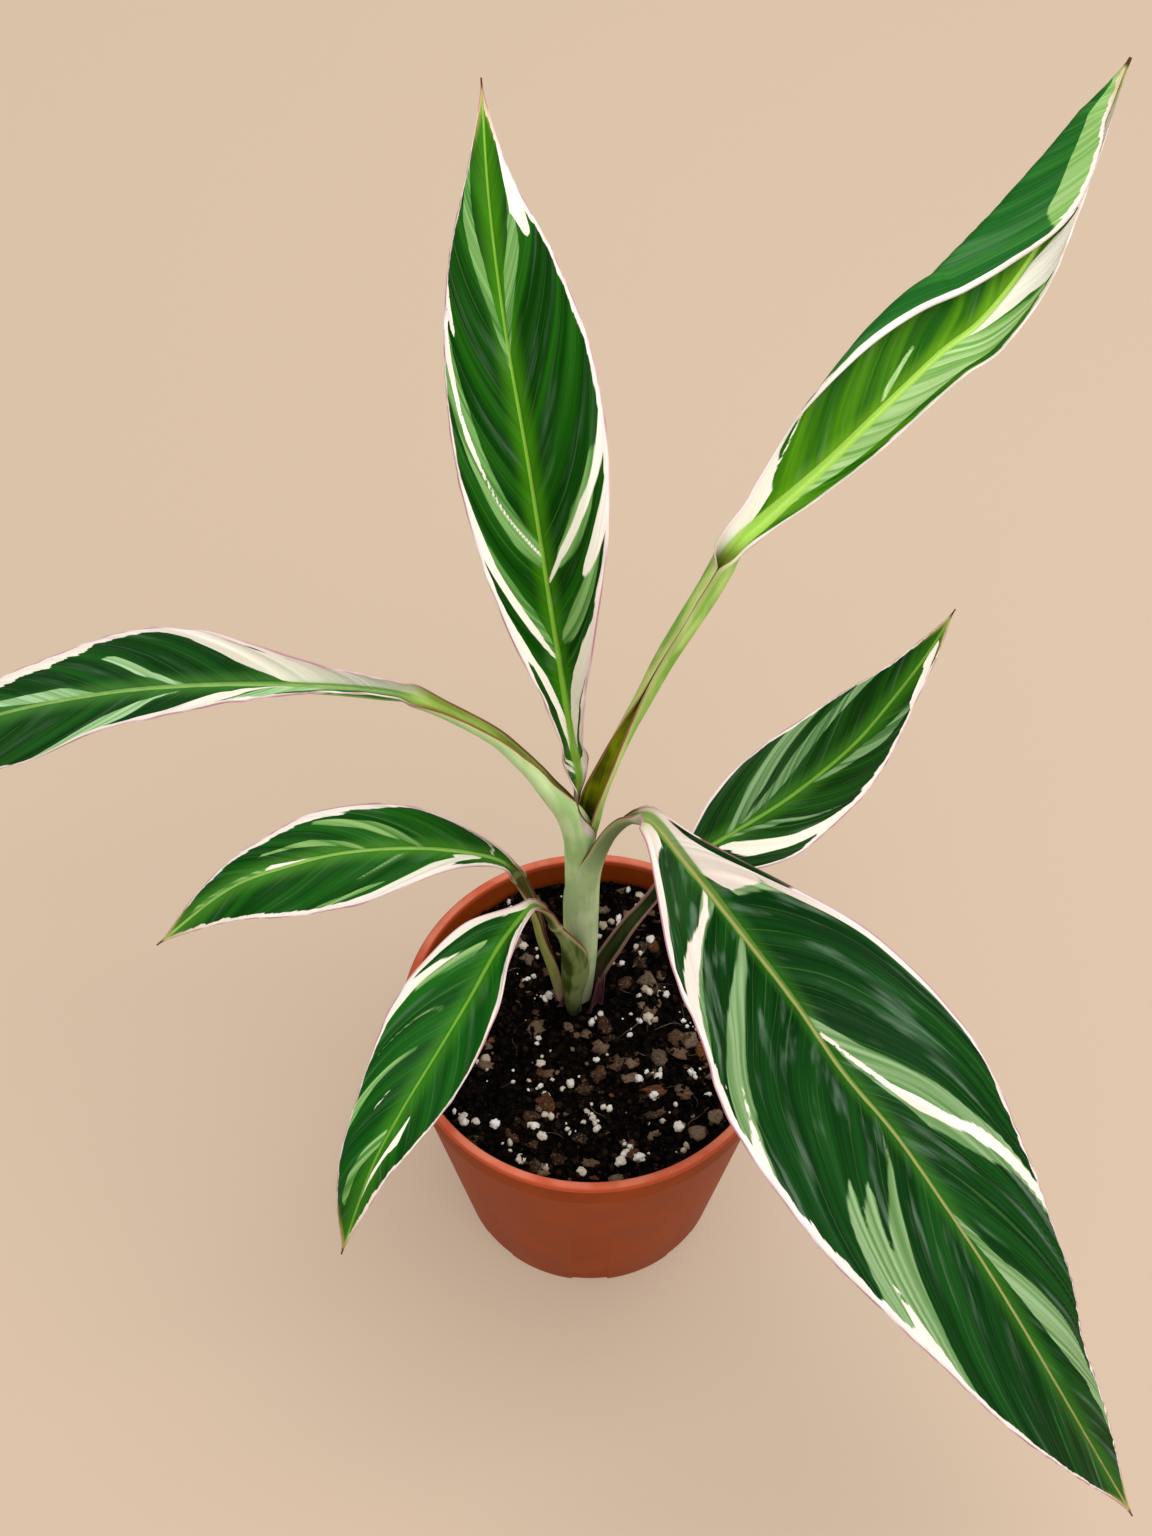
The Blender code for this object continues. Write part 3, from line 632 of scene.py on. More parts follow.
# One entry a leaf, in millimetres and degrees. Lists run from the foot to the tip, evenly.
# stalk, blade: points of the midrib's route. The sheath is the foot of the stalk.
# sheath: at each point of the stalk and at the blade's foot, the widths of the two halves, the
# radius that they are rolled to, and the wall.
# left, right: the widths of the blade's halves. fold lifts both halves, and curl bends them on
# their way to the margin. roll_at, roll_by: how far out the left half rolls over, and how much.
# facing: where the upper side looks, at the same places as the sheath and at the tip.
# lean: how steeply the side veins run. ribs: half the midrib's width. rim: the cream rim.
# knee: the point of the route where the stalk bends sharply. dyed_to: the one where the dye of
# the sheath's margins ends. stalk_end: where the stalk's colours end, as a share of the blade.
# pale, cream, green: streaks of each half, each kind laid over the one before. A stop of a
# streak says how far out it lies, as a share of the half, and where on the midrib the side
# veins start that run along its lower and its upper border.
LEAVES = {
    "leaf_upright": dict(
        stalk=[(-6.3, 14.6, 165), (-6.2, 14.6, 188), (-5.8, 14.8, 199), (-5.3, 15.2, 206),
               (-4.5, 16, 212), (-3.8, 17.6, 217.5), (-4.4, 18.6, 224)],
        sheath=[(11.3, 11.3, 3.6, 0.3), (11.3, 11.3, 3.6, 0.3), (11.5, 9.5, 3.7, 0.3),
                (9.0, 2.8, 3.8, 0.3), (5.0, 1.8, 3.6, 0.4), (5.6, 2.2, 3.8, 0.5),
                (6.0, 3.2, 3.6, 0.6), (5.8, 4.8, 3.6, 0.8)],
        blade=[(-6, 20, 237), (-11, 33, 273), (-17, 52, 314), (-23, 74, 344), (-27, 97, 368),
               (-29, 123, 385)],
        left=[5, 10, 15, 18, 19, 17, 12.5, 5], right=[5, 10, 16, 20, 22, 21, 15, 5.5],
        facing=[(0.9, -0.45, 0.1), (0.9, -0.45, 0.1), (0.9, -0.45, 0.1), (0.9, -0.45, 0.1),
                (0.85, -0.5, 0.2), (0.7, -0.7, 0.3), (0.3, -0.8, 0.4), (0, -0.8, 0.6),
                (0, -0.8, 0.6)],
        fold=[40, 14, 12], curl_left=[30, -10, -15], curl_right=[30, -10, -15],
        ribs=[1.3, 0.75, 0.5, 0.4, 0.35, 0.3], stalk_end=-0.1,
        rim_left=[0.5, 0.9, 1.8, 1.0, 0.7, 0.4, 0.4, 0.3, 0.4],
        rim_right=[1.9, 1.0, 1.5, 1.3, 1.4, 1.2, 1.0, 1.0, 0.8],
        cream_left=[
            [(0, 58, 60), (0.4, 59, 61), (0.6, 60, 63), (0.8, 62, 69), (1, 75, 92)],
            [(0.05, 25, 27), (0.25, 27, 30), (0.5, 29, 34), (0.8, 31, 37), (1, 30, 46)],
            [(0.2, -7, 7), (0.5, 0, 17), (0.65, 10, 19), (0.8, 17, 23), (1, 14, 26)],
            [(0.1, -14, -13), (1, -8, -6.6)],
            [(0.1, -18, -17), (1, -12, -10.8)],
            [(0.1, -22, -21), (1, -16, -14.8)],
            [(0.86, 86, 92), (1, 91, 99)]],
        cream_right=[
            [(0.55, 134, 143), (0.66, 122, 151), (0.78, 119, 161), (0.9, 128, 168), (1, 140, 175)],
            [(0.05, 50, 51), (0.3, 51, 54), (0.6, 49, 53), (0.8, 45, 49), (1, 39, 47)],
            [(0.66, 36, 39), (0.8, 33, 39), (1, 26, 36)],
            [(0.1, -9, 2), (0.3, -5, 14), (0.5, 0, 19), (0.7, 4, 22), (0.85, 9, 21), (1, 14, 17)]],
        pale_left=[
            [(0, 110, 116), (0.25, 121, 132), (0.6, 128, 142), (0.8, 131, 148), (1, 142, 152)],
            [(0, 55, 63), (0.4, 54, 66), (0.6, 55, 70), (0.8, 57, 80), (1, 63, 88)],
            [(0.03, 25, 29), (0.3, 28, 37), (0.6, 30, 40), (0.8, 31, 41)]],
        pale_right=[
            [(0, 114, 118), (0.1, 120, 133), (0.3, 125, 137), (0.45, 127, 142), (0.6, 134, 146)],
            [(0.25, 50, 55), (0.5, 46, 57), (0.78, 44, 53)],
            [(0.2, 29, 32), (0.5, 27, 36), (0.85, 26, 36)]]),
    "leaf_young": dict(
        stalk=[(-1, 14.9, 170), (-0.6, 15.2, 188), (1.3, 15.4, 203), (2.9, 16.2, 214),
               (5.6, 18, 225.5), (9.8, 21.3, 237), (14.6, 24.8, 248), (20.2, 29, 261),
               (26, 33, 272), (31.6, 37.2, 280.5)],
        sheath=[(7.5, 7.5, 2.8, 0.6), (7.4, 7.4, 2.9, 0.6), (8.6, 6.8, 3.3, 0.55),
                (6.7, 5.8, 3.1, 0.7), (4.9, 4.7, 2.4, 0.9), (4.4, 4.4, 1.8, 1.0),
                (5.2, 5.2, 1.75, 1.0), (6.2, 6.2, 2.0, 1.1), (7.2, 7.2, 2.3, 1.1),
                (7.8, 7.8, 2.5, 1.1), (8.1, 8.1, 2.6, 1.1)],
        blade=[(38, 43, 292), (48, 51, 297), (63, 62, 305), (78, 73, 315), (93, 85, 323),
               (104, 93, 327), (116, 105, 336), (126, 117, 349), (134, 128, 364), (140, 137, 379)],
        left=[6.5, 13, 20, 24.5, 28.5, 32, 31.5, 18.5],
        right=[4, 8.5, 11, 12.5, 14, 12.5, 6.5, 2.5],
        facing=[(-0.7, -0.5, 0.1), (-0.7, -0.5, 0.1), (-0.7, -0.5, 0.2), (-0.7, -0.5, 0.3),
                (-0.6, -0.6, 0.4), (-0.5, -0.6, 0.5), (-0.4, -0.6, 0.6), (-0.3, -0.6, 0.7),
                (-0.2, -0.6, 0.8), (-0.3, -0.5, 0.8), (-0.3, -0.7, 0.6), (-0.3, -0.7, 0.6)],
        fold=[35, 20, 20, 15], curl_left=[20, 10, 0, 0, 0], curl_right=[50, 50, 55, 40, 0],
        roll_at=[8, 11, 14, 16.5, 17, 15.4, 11.4, 5.8, 0.2],
        roll_by=[10, 35, 85, 138, 168, 176, 178, 178, 178], ripple=0.2,
        ribs=[3.2, 1.7, 1.1, 0.9, 0.7, 0.5, 0.4], dyed_to=5.5,
        rim_left=[1.5, 1.2, 1.4, 1.6, 1.8, 1.6, 1.2, 0.8],
        rim_right=[0.8, 0.9, 1.2, 1.4, 1.4, 1.2, 0.8],
        cream_left=[
            [(0.25, -60, 5), (0.45, -60, 12), (0.8, -60, 9), (1, -60, 2)],
            [(0.7, 9, 10), (0.9, 10, 13), (1, 11, 14)]],
        cream_right=[
            [(0, 79, 92), (0.06, 83, 109), (0.28, 87, 113), (0.5, 89, 113), (0.8, 84, 113),
             (1, 86, 116)]],
        pale_left=[
            [(0.65, 150, 400), (0.7, 90, 400), (0.8, 53, 400), (0.95, 31, 400), (1, 20, 400)],
            [(0.08, 53, 55), (0.16, 53, 58), (0.24, 57, 61)]],
        pale_right=[
            [(0.03, 5, 84), (0.3, 22, 86), (0.5, 28, 86), (0.62, 34, 84), (0.75, 74, 86)]]),
    "leaf_left": dict(
        stalk=[(-7.2, 12.5, 140), (-7.3, 12.4, 180), (-7.7, 12.4, 195), (-9.8, 12.5, 206),
               (-12.6, 12.6, 213.5), (-15, 13, 219.3), (-17.4, 14.2, 223.6), (-22, 15.5, 230.8),
               (-28.8, 17.2, 239.3), (-42.3, 19.9, 248.8)],
        sheath=[(11.8, 11.8, 3.9, 0.7), (11.8, 11.8, 4.0, 0.7), (13.0, 10.4, 4.2, 0.8),
                (10.8, 8.4, 4.1, 0.8), (8.8, 7.4, 3.8, 0.9), (7.2, 6.4, 3.3, 1.0),
                (6.2, 5.6, 2.9, 1.0), (5.2, 4.8, 2.5, 1.0), (4.3, 4.1, 2.1, 1.0),
                (4.0, 3.9, 2.0, 1.0), (5, 5, 3, 1.0)],
        blade=[(-53, 23, 252), (-70, 27, 250), (-93, 33, 243), (-117, 38, 235), (-142, 43, 224),
               (-174, 47, 208), (-200, 48, 190), (-221, 47, 167)],
        left=[5, 6.5, 8, 9.5, 11.5, 16, 15, 9], right=[5, 7, 13, 17, 16.5, 13, 10, 6],
        facing=[(1, 0.2, 0), (1, 0.2, 0), (1, 0.1, 0.1), (0.85, 0.28, 0.38), (0.72, 0.36, 0.58),
                (0.62, 0.36, 0.7), (0.52, 0.36, 0.77), (0.42, 0.3, 0.85), (0.3, 0.2, 0.92),
                (0.1, 0, 1), (0, -0.3, 1), (0, -0.4, 1)],
        fold=[45, 10, 6], curl_left=[40, -15, -20], curl_right=[40, -15, -20],
        ribs=[1.3, 0.8, 0.6, 0.5, 0.45, 0.4],
        rim_left=[0.5, 1.0, 1.5, 1.6, 1.0, 0.7, 0.6, 0.8, 1.0, 0.8],
        rim_right=[1.0, 1.2, 1.3, 1.4, 1.5, 2.8, 4.2, 3.5, 2.5, 1.5],
        cream_left=[
            [(0.02, 22, 27), (0.23, 39, 46), (0.42, 42, 51), (0.6, 42, 53), (0.8, 43, 58),
             (1, 48, 68)]],
        cream_right=[
            [(0.12, -60, 34), (0.3, -60, 37), (0.5, -60, 41), (0.78, -60, 41), (0.84, 22, 40),
             (1, 37, 42)],
            [(0.8, -60, 9), (1, -60, 12)]],
        pale_left=[
            [(0.05, 10, 23), (0.24, 20, 38), (0.6, 26, 41), (0.78, 30, 42)],
            [(0.2, 65, 68), (0.38, 71, 74), (0.52, 71, 77), (0.67, 70, 80), (0.82, 69, 81),
             (1, 72, 80)]],
        pale_right=[
            [(0, 96, 108), (0.06, 98, 120), (0.23, 101, 130), (0.3, 122, 135)],
            [(0.02, 66, 70), (0.26, 71, 76), (0.6, 71, 75)]]),
    "leaf_large": dict(
        stalk=[(-1.3, 11, 96), (-0.1, 9.9, 125), (0.2, 9.5, 150), (0.3, 9.4, 163), (0.8, 8.9, 176),
               (2.3, 7.4, 190), (4.6, 6.1, 202.5), (6.9, 4.6, 211), (9.6, 2.6, 218.5),
               (12.6, 0.8, 223)],
        sheath=[(11.6, 11.6, 3.7, 0.5), (14.1, 14.1, 4.5, 0.6), (15.4, 15.4, 4.9, 0.6),
                (12.5, 12.5, 4.8, 0.65), (8.2, 8.2, 4.0, 0.8), (5.0, 5.0, 2.7, 1.0),
                (3.6, 3.6, 1.9, 1.1), (3.1, 3.1, 1.6, 1.1), (2.9, 2.9, 1.5, 1.1),
                (3.2, 3.2, 1.6, 1.0), (4, 8, 3, 1.0)],
        blade=[(17, -1, 224), (26, -11, 219), (40, -27, 211), (56, -46, 202), (69, -64, 195),
               (83, -80, 189), (96, -97, 181), (110, -116, 171), (127, -138, 153),
               (153, -160, 108)],
        left=[4, 16, 29, 36.5, 35, 28, 20, 12.5], right=[11, 37, 43.5, 44, 41, 32.5, 22.5, 11],
        facing=[(-0.7, 0.7, 0), (-0.7, 0.7, 0), (-0.7, 0.7, 0), (-0.7, 0.7, 0), (-0.7, 0.7, 0.15),
                (-0.6, 0.65, 0.4), (-0.5, 0.7, 0.5), (-0.35, 0.7, 0.6), (-0.2, 0.5, 0.8),
                (0, 0.2, 1), (0.1, -0.1, 1), (0.6, -0.1, 1)],
        fold=[35, 12, 8], curl_left=[20, -20, -20], curl_right=[20, -20, -20],
        lean_left=[0.8, 1.1, 1.9, 2.6, 3.4], lean_right=[0.5, 0.7, 1.4, 2.8, 4.2],
        ribs=[2.3, 1.15, 0.7, 0.5, 0.45, 0.35],
        rim_left=[3.0, 2.5, 1.6, 1.2, 1.0, 1.0, 0.4, 0.9, 0.9, 0.4],
        rim_right=[2.5, 1.2, 1.6, 2.2, 2.4, 2.4, 2.0, 1.4, 0.9, 0.6, 0.4],
        cream_left=[
            [(0, -60, 10), (0.12, -60, 17), (0.3, -60, 23), (0.36, -60, 24), (0.5, -60, 22),
             (0.63, -60, 20), (0.75, -60, 17), (0.87, -60, 13), (1, -60, 12)],
            [(0.04, 73, 76), (0.15, 79, 85), (0.25, 85, 92), (0.45, 83, 88), (0.6, 77, 84),
             (0.8, 69, 77), (1, 62, 72)]],
        cream_right=[
            [(0.1, -60, 2), (0.3, -60, 5), (0.6, -60, 3), (0.8, -60, 0), (1, -60, -6)],
            [(0, 23, 24), (0.2, 24, 27), (0.4, 22, 25), (0.6, 18, 22), (0.8, 9, 15), (1, -2, 6)],
            [(0.86, 23, 24), (1, 22, 25)],
            [(0.8, 37, 39), (0.9, 33, 36), (1, 22, 30)],
            [(0.78, 82, 84), (0.86, 81, 88), (0.92, 78, 94), (1, 66, 100)]],
        pale_left=[
            [(0.36, 22, 26), (0.5, 20, 24), (0.63, 18, 22), (0.75, 15, 19), (0.9, 11, 15)],
            [(0.02, 67, 72), (0.1, 70, 84), (0.25, 73, 96), (0.43, 74, 94), (0.62, 72, 88),
             (0.8, 66, 80), (1, 62, 76)],
            [(0, 134, 140), (0.2, 142, 160), (0.4, 140, 168), (0.6, 141, 171), (0.8, 146, 184),
             (1, 165, 190)]],
        pale_right=[
            [(0.05, 23, 28), (0.4, 22, 26), (0.6, 18, 23), (0.8, 9, 17), (1, -2, 11)],
            [(0.02, 40, 41), (0.2, 40, 44), (0.4, 38, 43), (0.6, 34, 42), (0.8, 28, 42),
             (1, 23, 32)],
            [(0.55, 81, 84), (0.65, 77, 83), (0.8, 72, 83)],
            [(0.46, 90, 93), (0.6, 85, 92), (0.75, 78, 93)],
            [(0.04, 101, 102), (0.2, 103, 106), (0.4, 99, 106), (0.6, 94, 104), (0.8, 72, 102),
             (1, 65, 102)]],
        green_left=[
            [(0.82, -2, 9), (0.95, -2, 12)]]),
    "leaf_right": dict(
        stalk=[(0, 14, 96), (3, 15.5, 109), (8, 18.5, 119.5), (12.5, 22.5, 126.5),
               (18.5, 27.5, 132.5)],
        sheath=[(3.6, 2.4, 3, 0.4), (4.6, 2.2, 3.1, 0.5), (4.6, 2.2, 2.9, 0.6),
                (3.8, 2.4, 2.4, 0.8), (3, 2.6, 1.9, 0.9), (3, 3, 2, 0.9)],
        blade=[(28, 34, 144), (42, 43, 146), (62, 55, 150), (81, 67, 160), (93, 77, 170),
               (105, 88, 183), (112, 95, 195)],
        left=[2.5, 11.5, 17, 18, 17, 14.5, 9, 4.5], right=[3, 15, 18, 16, 14, 10, 6, 3],
        facing=[(-0.5, -0.5, 0.3), (-0.4, -0.5, 0.6), (-0.4, -0.5, 0.8), (-0.4, -0.5, 0.8),
                (-0.4, -0.5, 0.8), (-0.3, -0.6, 1), (-0.3, -0.6, 1)],
        fold=[30, 14, 8], curl_left=[10, -20, -20], curl_right=[10, -20, -20],
        ribs=[0.8, 0.6, 0.5, 0.4], rim_left=[0.5, 0.8, 0.5, 0.8, 0.4, 0.7, 0.5],
        rim_right=[0.6, 0.6, 0.9, 1.8, 1.2, 0.7, 0.6, 0.6],
        cream_right=[
            [(0.17, 10, 14), (0.33, 10, 15), (0.5, 7, 16), (0.66, 5, 17), (0.82, 9, 20),
             (1, 15, 30)],
            [(0.2, 98, 108), (0.5, 92, 105), (0.62, 83, 101), (0.75, 75, 94), (0.9, 69, 84),
             (1, 65, 76)]],
        pale_left=[
            [(0.05, 17, 20), (0.26, 18, 23), (0.43, 18, 26), (0.6, 17, 27), (0.8, 17, 27),
             (1, 15, 28)],
            [(0.08, 22, 25), (0.27, 27, 36), (0.43, 31, 40), (0.6, 33, 45), (0.76, 36, 56),
             (1, 52, 66)]],
        pale_right=[
            [(0.03, 16, 19), (0.19, 22, 28), (0.35, 26, 29), (0.6, 26, 28), (0.83, 27, 28)],
            [(0.04, 46, 49), (0.19, 52, 66), (0.34, 56, 68), (0.48, 58, 70), (0.63, 59, 74),
             (0.78, 65, 74)]]),
    "leaf_lower_left": dict(
        stalk=[(-9.4, 11, 95), (-11.2, 12, 106), (-13.2, 14, 116), (-16, 16, 128.6),
               (-17.8, 18, 141), (-20.6, 20, 152)],
        sheath=[(3.6, 3.6, 1.8, 0.7), (3.5, 3.5, 1.7, 0.8), (3.3, 3.3, 1.6, 0.9),
                (3.1, 3.1, 1.5, 0.9), (3.0, 3.0, 1.5, 0.9), (2.9, 2.9, 1.5, 0.9),
                (2.5, 3, 1.6, 0.9)],
        blade=[(-25, 22, 163), (-34, 23, 168), (-52, 24, 170), (-73, 22, 171), (-90, 18, 170),
               (-109, 12, 166), (-132, 3, 148)],
        left=[2.5, 6, 12, 16, 16.5, 14.5, 10, 4.5], right=[3, 9, 13, 14, 13.5, 10, 6.5, 3.5],
        facing=[(0.8, 0.3, 0.3), (0.8, 0.3, 0.3), (0.7, 0.3, 0.4), (0.6, 0.1, 0.5), (0.5, 0, 0.6),
                (0.4, -0.2, 0.8), (-0.1, -0.5, 1), (-0.1, -0.5, 1)],
        fold=[40, 12, 8], curl_left=[20, -20, -20], curl_right=[20, -20, -20],
        ribs=[0.7, 0.5, 0.4, 0.4], knee=5.6,
        rim_left=[1.0, 1.6, 1.8, 1.9, 1.8, 1.5, 1.4, 1.2, 0.6],
        rim_right=[1.0, 0.6, 0.4, 1.4, 1.8, 1.4, 0.8, 0.6, 0.4],
        cream_left=[
            [(0.2, 8, 16), (0.36, 8, 14), (0.51, 10, 17), (0.67, 11, 17), (0.83, 9, 17),
             (1, 8, 18)]],
        cream_right=[
            [(0.17, 5, 6), (0.5, 3.5, 4.5), (0.8, 1.5, 3), (1, 1, 3)],
            [(0.82, 25, 28), (0.9, 24, 37), (1, 23, 41)],
            [(0.02, 60, 62), (0.06, 62, 74), (0.12, 66, 72)]],
        pale_left=[
            [(0.14, 30.5, 31.5), (0.54, 32, 33)],
            [(0.72, 21, 25), (0.88, 23, 30)]],
        pale_right=[
            [(0.04, 26, 28), (0.32, 26, 32), (0.47, 26, 33), (0.61, 27, 37), (0.75, 31, 37)],
            [(0, 55, 64), (0.06, 60, 94), (0.12, 66, 98), (0.2, 88, 102)],
            [(0.02, 43, 45), (0.22, 44, 50), (0.43, 48, 58), (0.53, 58, 65)]]),
    "leaf_front": dict(
        stalk=[(-5.8, 6.3, 96), (-6.5, 3.6, 114.5), (-6, 2, 129), (-6.4, 1.2, 142),
               (-8.3, 1.6, 152.5), (-11.3, 2, 161), (-13.6, 2, 169.5), (-16.2, 1.8, 173)],
        sheath=[(3.3, 3.3, 1.8, 0.5), (5.6, 5.6, 3.0, 0.7), (7.2, 7.2, 3.9, 0.8),
                (6.3, 6.3, 3.5, 0.9), (3.8, 3.8, 2.1, 1.0), (2.5, 2.5, 1.4, 1.0),
                (2.0, 2.0, 1.1, 0.9), (2.0, 2.0, 1.1, 0.9), (2.4, 2.4, 1.4, 0.9)],
        blade=[(-18.6, 0.4, 174), (-27, -9, 169.5), (-36, -23, 162), (-45, -37, 156),
               (-56, -54, 149), (-65, -67, 137), (-75, -80, 107)],
        left=[3, 7, 10.5, 11.5, 11, 8.5, 5, 2.5], right=[3, 14, 18, 18.5, 16, 12.5, 9, 5],
        facing=[(0.3, 0.9, 0.1), (0.3, 0.9, 0.1), (0.3, 0.9, 0.1), (0.35, 0.85, 0.2),
                (0.4, 0.7, 0.5), (0.35, 0.5, 0.7), (0.2, 0.3, 0.9), (0, 0, 1), (-0.1, -0.2, 1),
                (0.3, -0.2, 1)],
        fold=[35, 12, 8], curl_left=[20, -20, -20], curl_right=[20, -20, -20],
        ribs=[0.9, 0.45, 0.4, 0.3], knee=5.0,
        rim_left=[2.5, 2.2, 1.0, 0.6, 0.5, 0.8, 1.0, 1.2, 0.8],
        rim_right=[2.5, 2.0, 1.2, 0.8, 0.4, 0.4, 0.3, 0.3],
        cream_left=[
            [(0.02, 96, 110), (0.15, 85, 94), (0.25, 74, 86), (0.3, 62, 80), (0.36, 66, 76)]],
        cream_right=[
            [(0.6, 1, 2), (0.76, -1, 0.5), (1, -6, -1)],
            [(0.58, 9.5, 10), (0.7, 7.5, 9), (0.84, 4.5, 10), (1, 2, 15)],
            [(0.4, 54, 56), (0.54, 56, 58)]],
        pale_right=[
            [(0.31, 10, 13), (0.55, 9.5, 13.5), (0.8, 7, 12)],
            [(0.32, 42, 43), (0.58, 41, 44), (0.72, 41, 45), (1, 40, 52)],
            [(0.3, 29, 30.5), (0.53, 27, 28), (0.88, 26.5, 28)],
            [(0.08, 75, 81), (0.35, 75, 83), (0.62, 78, 96)]]),
}

ROW_STEP = 1.15                    # mm of leaf between two rows of faces
ROUTE_STEPS = 24                   # straight pieces between two points of a route
HALF_COLUMNS = 32
CROWDING = 1.35                    # above 1, the columns are closer near the midrib
NARROWEST = 0.25                   # half width of the very tip
OPENING = 0.4                      # share of the stalk's last stretch that opens into the blade
KNEE_LENGTH = 0.13                 # in points of the route
VEIN_LEAN = [0.9, 1.3, 1.9, 2.5, 3.2]
VEIN_SWEEP = 0.6                   # how much steeper the side veins get at the margin
RIPPLES = ((0.26, 13), (0.16, 8.3), (0.08, 5.2))    # height and length of the vein ripples
WAVES = ((0.45, 70), (0.2, 40))    # and of the waves along the margin
GROOVE = 0.5                       # the midrib is sunk this far into the upper side
FULL_WIDTH = 8.0                   # narrower halves ripple less and are thinner
POINTED = 60                       # how sharply a streak's end comes to a point
NO_STREAK = -20.0                  # the depth where no streak is near
RIPPLE_START = 3.0                 # the ripples grow up about this far from the midrib
VEINS_UNIT = 100                   # mm of leaf in one unit of the veins map
BLADE_THICKNESS = 0.45
KEEL, FOOT_KEEL = 0.35, 1.5        # what the midrib adds below, all along and at its foot
STALK_MARGIN = 0.35                # thickness of a stalk's or sheath's margin
SOLID_THICKNESS = 3.0              # what a thickness weight of 1 stands for
ROLL_ARC = 6.0                     # mm of blade in the turn of a furled half
FOOT_TINT_LOW, FOOT_TINT_HEIGHT = 97, 25  # the stalks' foot colour starts here and fades out; on leaf_front it is painted shadow
DYE_FADE = 1.5                     # points of the route over which the dyed margins fade
MARKS = ("cream", "pale", "green", "rim", "edge", "rib", "tip", "stalk", "blush", "knee",
         "before", "dyed")


def smooth_route(points, step):
    """Places every step along a smooth curve through the route's points, and which point each
    is near."""
    ends = [2 * points[0] - points[1], *points, 2 * points[-1] - points[-2]]
    fine = []
    for a, b, c, d in zip(ends, ends[1:], ends[2:], ends[3:]):
        for part in range(ROUTE_STEPS):
            t = part / ROUTE_STEPS
            fine.append(0.5 * ((2 * b) + (c - a) * t + (2 * a - 5 * b + 4 * c - d) * t * t
                               + (3 * b - a - 3 * c + d) * t ** 3))
    fine.append(points[-1])
    reach = [0.0]
    for a, b in zip(fine, fine[1:]):
        reach.append(reach[-1] + (b - a).length)
    rows = round(reach[-1] / step)
    route, near, index = [], [], 0
    for row in range(rows + 1):
        target = reach[-1] * row / rows
        while index < len(fine) - 2 and reach[index + 1] < target:
            index += 1
        part = (target - reach[index]) / (reach[index + 1] - reach[index])
        route.append(fine[index].lerp(fine[index + 1], min(part, 1.0)))
        near.append((index + part) / ROUTE_STEPS)
    return route, near, reach[-1]


def blank_sheet(rows):
    """A flat grid, a row for each place on the route, with the midrib down its middle."""
    columns = 2 * HALF_COLUMNS
    bm = bmesh.new()
    bmesh.ops.create_grid(bm, x_segments=columns, y_segments=rows, size=0.5)
    thickness = bm.verts.layers.deform.new()
    marks = {key: bm.verts.layers.float.new(key) for key in MARKS}
    veins = bm.loops.layers.uv.new("veins")
    bm.verts.index_update()
    grid = {}
    for vert in bm.verts:
        row = round((vert.co.y + 0.5) * rows)
        column = round((vert.co.x + 0.5) * columns) - HALF_COLUMNS
        grid[row, column] = vert
    return bm, grid, thickness, marks, veins


def half_shape(leaf, side, t, before, opening):
    """Width, fold and curl of one half: of the rolled sheath and stalk, or of the blade."""
    if t >= 0:
        width = max(along([*leaf[side], 0], t), NARROWEST)
        return width, along(leaf["fold"], t), along(leaf["curl_" + side], t)
    lefts, rights, hollows, _ = zip(*leaf["sheath"])
    width = along(lefts if side == "left" else rights, before)
    curl = math.degrees(width / along(hollows, before))
    width += opening * (leaf[side][0] - width)
    curl += opening * (leaf["curl_" + side][0] - curl)
    return width, opening * leaf["fold"][0], curl


def half_section(width, fold, curl, roll_at, roll_by):
    """Walks one half from midrib to margin: the share walked, the place and the slope there."""
    out = height = last = 0.0
    for column in range(HALF_COLUMNS + 1):
        reach = (column / HALF_COLUMNS) ** CROWDING
        half_way = (reach + last) / 2
        bend = fold + curl * half_way
        if roll_by:
            bend += roll_by * ease((width * half_way - roll_at) / min(ROLL_ARC, 0.4 * width))
        angle = math.radians(bend)
        out += math.cos(angle) * width * (reach - last)
        height += math.sin(angle) * width * (reach - last)
        last = reach
        yield column, reach, out, height, angle


def swell(layers, spot, shift=0.0):
    """The height of a few waves laid over one another."""
    return sum(size * math.sin(math.tau * spot / wave + phase + shift)
               for size, wave, phase in layers)


def streak_depth(streaks, vein, reach):
    """How many mm inside the nearest streak a spot is. Outside them all it is below 0."""
    depth = NO_STREAK
    for stops in streaks:
        held = min(max(reach, stops[0][0]), stops[-1][0])
        for (reach_0, low_0, high_0), (reach_1, low_1, high_1) in zip(stops, stops[1:]):
            if held <= reach_1:
                break
        part = (held - reach_0) / (reach_1 - reach_0)
        low = low_0 + (low_1 - low_0) * part
        high = high_0 + (high_1 - high_0) * part
        past = abs(reach - held) * POINTED
        depth = max(depth, min(vein - low, high - vein) - past)
    return depth


